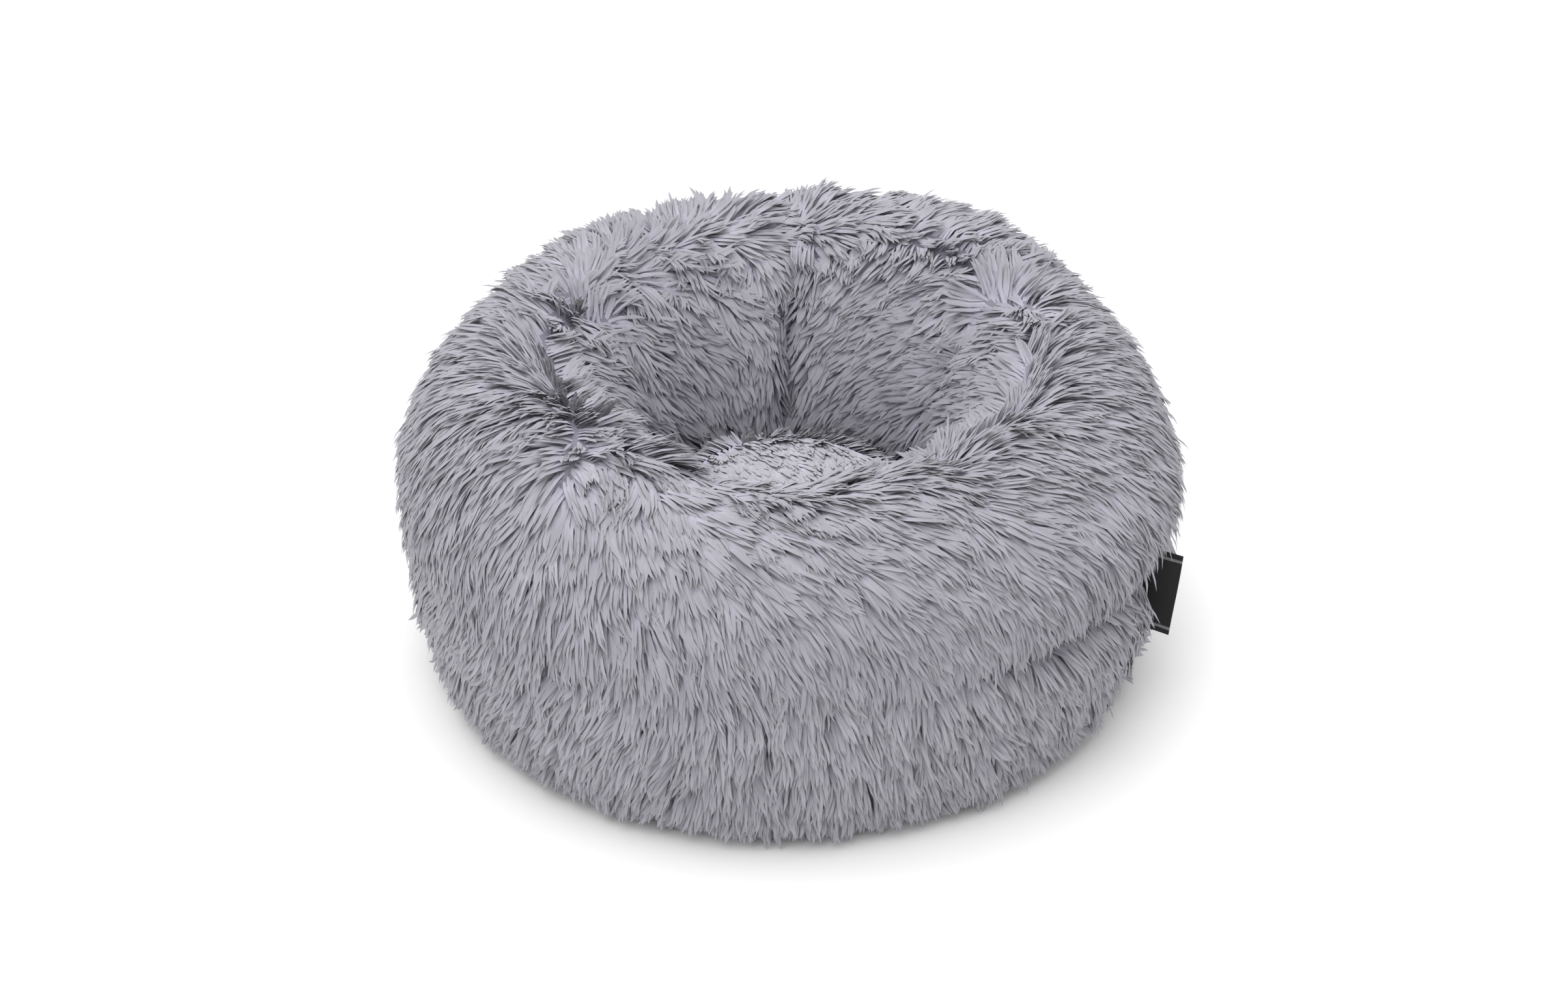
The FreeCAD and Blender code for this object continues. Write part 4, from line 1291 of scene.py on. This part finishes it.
def make_dots():
    """Domed dots on a square grid, clear of the binding and of the zip: each four rings, closed."""
    reach = BINDING_IN - DOT_R - DOT_MARGIN
    keep_off = TAPE_OUT + DOT_R + DOT_MARGIN
    count = int(reach / DOT_PITCH) + 1
    steps = (np.arange(-count, count) + 0.5) * DOT_PITCH
    x, y = [a.ravel() for a in np.meshgrid(steps, steps)]
    kept = (np.hypot(x, y) <= reach) & (np.abs(y) >= keep_off)
    places = np.stack([x[kept], y[kept], np.zeros(kept.sum())], -1)
    sides = 12
    t = np.linspace(0.0, 2.0 * math.pi, sides, endpoint=False)
    rings = [(1.0, DOT_T * 1.6), (0.97, DOT_T * 0.6), (0.7, DOT_T * 0.12), (0.05, 0.00005)]
    one = np.stack([np.stack([DOT_R * r * np.cos(t), DOT_R * r * np.sin(t), np.full(sides, z)], -1)
                    for r, z in rings])
    corners = grid_corners(len(rings), sides, wrap_cols=True)
    points = places[:, None, :] + one.reshape(1, -1, 3)
    each = points.shape[1]
    quads = (np.arange(len(places))[:, None, None] * each + corners[None]).reshape(-1)
    caps = np.stack([np.arange(sides)[::-1], each - sides + np.arange(sides)])
    ends = (np.arange(len(places))[:, None, None] * each + caps[None]).reshape(-1)
    starts = np.concatenate([np.arange(len(places) * len(corners)) * 4,
                             len(quads) + np.arange(2 * len(places)) * sides])
    body = build("grip_dots", points.reshape(-1, 3), np.concatenate([quads, ends]), starts)
    shape = bmesh.new()
    shape.from_mesh(body.data)
    bmesh.ops.recalc_face_normals(shape, faces=shape.faces)
    shape.to_mesh(body.data)
    shape.free()
    return finish_piece(body, MATERIALS["dots"], "bed", ["anti_slip_dots"])


def make_pad():
    """Foam pad on the base: a square grid mapped on to the disc, top and bottom, with a groove over
    the zip."""
    side = np.linspace(-1.0, 1.0, 101)
    u, v = np.meshgrid(side, side)
    reach = EDGE_R - 0.001
    x, y = reach * u * np.sqrt(1.0 - v ** 2 / 2.0), reach * v * np.sqrt(1.0 - u ** 2 / 2.0)
    over = 1.0 - ease(np.abs(x), TAPE_HALF + 0.0005, TAPE_HALF + 0.006)
    over = over * (1.0 - ease(np.abs(y), TAPE_OUT + 0.0005, TAPE_OUT + 0.006))
    under = BINDING_T + GAP + over * (SLIDER_TOP + 0.001 - BINDING_T)
    soft = drift(np.stack([x, y, 0.0 * x], -1), 0.08, 61)
    top = PAD_TOP - 0.0006 - 0.0004 * (1.0 + soft)
    edge = np.maximum(np.abs(u), np.abs(v))
    top = top - 0.004 * ease(edge, 0.94, 1.0)
    upper = np.stack([x, y, top], -1)
    lower = np.stack([x, y, under], -1)
    rows = cols = len(side)
    points = np.concatenate([upper.reshape(-1, 3), lower.reshape(-1, 3)])
    one = grid_corners(rows, cols)
    loop = np.concatenate([np.arange(cols), np.arange(1, rows) * cols + cols - 1,
                           (rows - 1) * cols + np.arange(cols - 1)[::-1],
                           np.arange(1, rows - 1)[::-1] * cols])
    nxt = np.roll(loop, -1)
    count = rows * cols
    walls = np.stack([nxt, loop, loop + count, nxt + count], 1)
    corners = np.concatenate([one, one[:, ::-1] + count, walls])
    body = build("foam_pad", points, corners.ravel(), np.arange(len(corners)) * 4)
    finish_piece(body, MATERIALS["foam"], "bed", ["base_pad"])


def make_zip():
    """Zip in the base: two woven tapes, teeth, stops, slider and pull tab."""
    settings = bpy.context.scene.bed_zip
    for name, side in (("front", -1), ("back", 1)):
        x = np.linspace(-TAPE_HALF, TAPE_HALF, 160)
        y = np.linspace(TAPE_IN, TAPE_OUT, 12)
        x, y = np.meshgrid(x, y)
        z = TAPE_HIGH - 0.0001 + 0.00008 * drift(np.stack([x, y, 0.0 * x], -1), 0.03, 71)
        points = np.stack([x, side * y, z], -1)
        if side < 0:
            points = points[:, ::-1]
        body = surface("zip_tape_cloth_" + name, points, size=(2.0 * TAPE_HALF, TAPE_OUT - TAPE_IN))
        solid(body, 0.0004)
        finish_piece(body, MATERIALS["tape"], "bed", ["zip_tape_" + name])
        teeth = rounded_copy("zip_teeth_row_" + name, "zip_teeth_" + name, settings.edge)
        finish_piece(teeth, MATERIALS["teeth"], "bed", ["zip_teeth_" + name])
    for name, node, ride_on in (("zip_end_stops", "zip_stops", "bed"),
                                ("zip_slider_body", "zip_slider", "slider"),
                                ("zip_pull_tab", "zip_pull", "pull")):
        body = rounded_copy(name, node, settings.edge * 0.8)
        finish_piece(body, MATERIALS["metal"], ride_on, [node])


def make_label():
    """Woven satin label, folded at its outer edge and sewn in by its two ends: a thin hairpin section
    carried up the lean of the wall, with a slow twist and a slight curl."""
    hinge = np.array(SWING["pos_m"], float)
    lean = np.array(SWING["axis"], float)
    lean = lean * np.sign(lean[2])
    out = np.array([math.cos(math.radians(WALL_SEAM)), math.sin(math.radians(WALL_SEAM)), 0.0])
    out = unit(out - lean * (out @ lean))
    across = np.cross(lean, out)
    gap = 0.00016
    reach = LABEL_REACH - 0.001
    steps = 24
    run = np.linspace(0.0, reach, steps)
    turn = np.linspace(-0.5 * math.pi, 0.5 * math.pi, 9)[1:-1]
    along = np.concatenate([run, reach + gap * np.cos(turn), run[::-1]])
    apart = np.concatenate([np.full(steps, -gap), gap * np.sin(turn), np.full(steps, gap)])
    height = np.linspace(-LABEL_H / 2.0 + 0.0003, LABEL_H / 2.0 - 0.0003, 40)[:, None]
    share = along / reach
    wave = 0.0011 * share ** 2 * np.sin(2.0 * math.pi * (height / LABEL_H) * 0.8 + 0.6)
    points = hinge + height[..., None] * lean + along[None, :, None] * out
    points = points + (apart[None, :] + wave)[..., None] * across
    body = surface("side_label_satin", points, size=(2.0 * reach, LABEL_H))
    solid(body, 0.00022, 1.0)
    finish_piece(body, MATERIALS["label"], "label", ["side_label"])


def label_material(colour, border):
    """Satin with a plain woven border along its top and bottom edges and no lettering."""
    border_in, border_half = 0.005, 0.0011
    material, tree, shader = new_material("Label satin", Roughness=0.5, Specular_IOR_Level=0.25)
    where = node_of(tree, "ShaderNodeUVMap", uv_map="cloth")
    weave = group_node(tree, GROUPS["weave"], Threads=3200.0, Slub=0.15)
    tree.links.new(where.outputs[0], weave.inputs["Map"])
    split = node_of(tree, "ShaderNodeSeparateXYZ")
    tree.links.new(where.outputs[0], split.inputs[0])
    off = calculate(tree, "ABSOLUTE", calculate(tree, "SUBTRACT", split.outputs[1], LABEL_H / 2.0))
    beside = calculate(tree, "ABSOLUTE", calculate(tree, "SUBTRACT", off, LABEL_H / 2.0 - border_in))
    band = calculate(tree, "MULTIPLY", calculate(tree, "LESS_THAN", beside, border_half), 0.6)
    # A faint painted shade of the weave, and the woven border as a band.
    shade = calculate(tree, "MULTIPLY_ADD", weave.outputs["Shade"], 0.05, band)
    shade_between(tree, shader, shade, four(colour), four(border))
    raise_by(tree, shader, weave.outputs["Height"], 0.00012)
    return material


def make_stage():
    """Plain pale floor, soft studio light and the camera."""
    settings = bpy.context.scene.bed_stage
    half = settings.floor_half
    side = np.linspace(-half, half, 9)
    x, y = np.meshgrid(side, side)
    floor = surface("stage_floor", np.stack([x, y, np.full_like(x, -GAP)], -1),
                    size=(2.0 * half, 2.0 * half))
    material, tree, shader = new_material("Stage floor", Roughness=0.9, Specular_IOR_Level=0.1)
    where = tree.nodes.new("ShaderNodeTexCoord")
    cloud = node_of(tree, "ShaderNodeTexNoise", Scale=1.5, Detail=2.0)
    tree.links.new(where.outputs["Object"], cloud.inputs["Vector"])
    shade_between(tree, shader, cloud.outputs[0], (0.93, 0.93, 0.93, 1.0), (0.95, 0.95, 0.95, 1.0))
    floor.data.materials.append(material)
    aim = Vector((0.0, 0.0, settings.target_z))
    camera = bpy.data.objects.new("camera", bpy.data.cameras.new("camera"))
    back = Vector((0.0, -math.cos(settings.elevation), math.sin(settings.elevation)))
    camera.location = aim + back * settings.distance
    camera.rotation_euler = (-back).to_track_quat("-Z", "Y").to_euler()
    camera.data.lens = settings.lens
    camera.data.sensor_width = 36.0
    camera.data.shift_x = settings.shift_x
    camera.data.shift_y = settings.shift_y
    bpy.context.scene.collection.objects.link(camera)
    bpy.context.scene.camera = camera
    for name, place, size, power in (("top light", (-0.1, 0.1, 3.2), 3.6, 76.0),
                                     ("key light", (-1.0, -2.1, 2.8), 2.2, 36.0)):
        lamp = bpy.data.objects.new(name, bpy.data.lights.new(name, "AREA"))
        lamp.data.energy = power
        lamp.data.size = size
        lamp.location = place
        lamp.rotation_euler = (aim - lamp.location).to_track_quat("-Z", "Y").to_euler()
        bpy.context.scene.collection.objects.link(lamp)
    world = bpy.data.worlds.new("studio")
    world.use_nodes = True
    light = world.node_tree.nodes["Background"]
    light.inputs["Color"].default_value = (1.0, 1.0, 1.0, 1.0)
    light.inputs["Strength"].default_value = settings.sky_strength
    bpy.context.scene.world = world
    bpy.context.scene.view_settings.view_transform = "Standard"


# ---- operators, panel and registration -----------------------------------------------------------

class BED_OT_rim(bpy.types.Operator):
    """Add the long-pile panels over the ring"""
    bl_idname = "bed.rim"
    bl_label = "Rim"

    def execute(self, context):
        make_rim()
        return {"FINISHED"}


class BED_OT_wall(bpy.types.Operator):
    """Add the long-pile side panels"""
    bl_idname = "bed.wall"
    bl_label = "Wall"

    def execute(self, context):
        make_wall()
        return {"FINISHED"}


class BED_OT_well(bpy.types.Operator):
    """Add the lining of the well and its quilted floor"""
    bl_idname = "bed.well"
    bl_label = "Well"

    def execute(self, context):
        make_well()
        return {"FINISHED"}


class BED_OT_bolster(bpy.types.Operator):
    """Add the bag and filling of the ring"""
    bl_idname = "bed.bolster"
    bl_label = "Bolster"

    def execute(self, context):
        make_bolster()
        return {"FINISHED"}


class BED_OT_cushion(bpy.types.Operator):
    """Add the loose seat cushion"""
    bl_idname = "bed.cushion"
    bl_label = "Seat Cushion"

    def execute(self, context):
        make_cushion()
        return {"FINISHED"}


class BED_OT_base(bpy.types.Operator):
    """Add the base cloth, binding, dots and foam pad"""
    bl_idname = "bed.base"
    bl_label = "Base"

    def execute(self, context):
        make_base()
        return {"FINISHED"}


class BED_OT_zip(bpy.types.Operator):
    """Add the zip in the base"""
    bl_idname = "bed.zip"
    bl_label = "Zip"

    def execute(self, context):
        make_zip()
        return {"FINISHED"}


class BED_OT_label(bpy.types.Operator):
    """Add the folded side label"""
    bl_idname = "bed.label"
    bl_label = "Side Label"

    def execute(self, context):
        make_label()
        return {"FINISHED"}


class BED_OT_stage(bpy.types.Operator):
    """Add the floor, lights and camera"""
    bl_idname = "bed.stage"
    bl_label = "Stage"

    def execute(self, context):
        make_stage()
        return {"FINISHED"}


OPERATORS = (BED_OT_stage, BED_OT_bolster, BED_OT_rim, BED_OT_wall, BED_OT_well, BED_OT_cushion,
             BED_OT_base, BED_OT_zip, BED_OT_label)
SETTINGS = {
    "bed_ring": BedRingSettings,
    "bed_pile": BedPileSettings,
    "bed_cushion": BedCushionSettings,
    "bed_base": BedBaseSettings,
    "bed_zip": BedZipSettings,
    "bed_label": BedLabelSettings,
    "bed_stage": BedStageSettings,
}


class BED_PT_panel(bpy.types.Panel):
    """Pieces and settings of the pet bed"""
    bl_idname = "BED_PT_panel"
    bl_label = "Pet Bed"
    bl_space_type = "VIEW_3D"
    bl_region_type = "UI"
    bl_category = "Pet Bed"

    def draw(self, context):
        layout = self.layout
        for operator in OPERATORS:
            layout.operator(operator.bl_idname)
        for name, settings in SETTINGS.items():
            box = layout.box()
            for label in settings.__annotations__:
                box.prop(getattr(context.scene, name), label)


def register():
    for name, settings in SETTINGS.items():
        bpy.utils.register_class(settings)
        setattr(bpy.types.Scene, name, PointerProperty(type=settings))
    for operator in OPERATORS:
        bpy.utils.register_class(operator)
    bpy.utils.register_class(BED_PT_panel)


def unregister():
    bpy.utils.unregister_class(BED_PT_panel)
    for operator in reversed(OPERATORS):
        bpy.utils.unregister_class(operator)
    for name, settings in reversed(SETTINGS.items()):
        delattr(bpy.types.Scene, name)
        bpy.utils.unregister_class(settings)


def make_materials():
    """Every finish of the bed, by its own name."""
    scene = bpy.context.scene
    look, base, zip_look, label = scene.bed_pile, scene.bed_base, scene.bed_zip, scene.bed_label
    tip = four(look.tip_colour)
    tape, teeth, cloth, dots = zip_look.tape_colour, zip_look.teeth_colour, base.cloth_colour, base.dot_colour
    MATERIALS.update({
        # Lit and shaded copies of one pile: the wall's roots darker as painted shade between locks; the rim's
        # and well's roots lighter, their tips a little darker, and the cushion's roots and tips lighter, as
        # painted light against the shade between locks and in the well.
        "pile": pile_material("Wall pile with painted shade", four(look.root_colour_with_painted_shade, 0.5), tip, 0.8, 0.6),
        "rim_pile": pile_material("Rim pile with painted light", four(look.root_colour_with_painted_shade, 1.75), four(look.tip_colour, 0.93),
                                  0.75, 0.5),
        "cushion_pile": pile_material("Cushion pile with painted light", four(look.root_colour_with_painted_shade, 2.3),
                                      four(look.tip_colour, 1.22), 0.6, 0.3),
        "backing": woven_material("Pile backing", four(look.root_colour_with_painted_shade, 0.9), four(look.root_colour_with_painted_shade, 1.2),
                                  900.0, 0.0002),
        "bag": fibre_material("Non-woven bag", grey(0.62), grey(0.75), 260.0, 0.0003),
        "fibre": fibre_material("Fibre filling", grey(0.7), grey(0.86), 120.0, 0.001),
        "foam": fibre_material("Foam", (0.66, 0.64, 0.55, 1.0), (0.78, 0.76, 0.68, 1.0), 500.0, 0.0005),
        "base_cloth": woven_material("Base cloth", four(cloth, 0.8), four(cloth, 1.2), 1500.0, 0.0002, 0.3),
        "casing": fibre_material("Casing cloth", four(cloth, 1.25), four(cloth, 1.5), 900.0, 0.0001, 0.8),
        "lining": woven_material("Well lining", four(cloth, 0.9), four(cloth, 1.25), 1200.0, 0.0002),
        "binding": woven_material("Binding tape", four(cloth, 0.6), four(cloth, 0.9), 1600.0, 0.0003),
        "tape": woven_material("Zip tape", four(tape, 0.8), four(tape, 1.1), 2400.0, 0.0002),
        "dots": hard_material("Grip dots", four(dots, 0.9), four(dots, 1.2), 0.0, 0.6, 900.0),
        "teeth": hard_material("Zip teeth", four(teeth, 0.9), four(teeth), 0.0, 0.4, 900.0),
        "metal": hard_material("Zip metal", (0.52, 0.52, 0.53, 1.0), (0.66, 0.66, 0.67, 1.0), 1.0, 0.32,
                               1400.0),
        "label": label_material(label.colour, label.border_colour),
    })


def main():
    """Registers the add-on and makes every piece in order."""
    register()
    GROUPS["pile"] = pile_group()
    GROUPS["weave"] = weave_group()
    make_materials()
    for operator in OPERATORS:
        kind, name = operator.bl_idname.split(".")
        getattr(getattr(bpy.ops, kind), name)()


RING = ring_section()
CUSHION = cushion_section()
GROUPS = {}
MATERIALS = {}

if __name__ == "__main__":
    main()
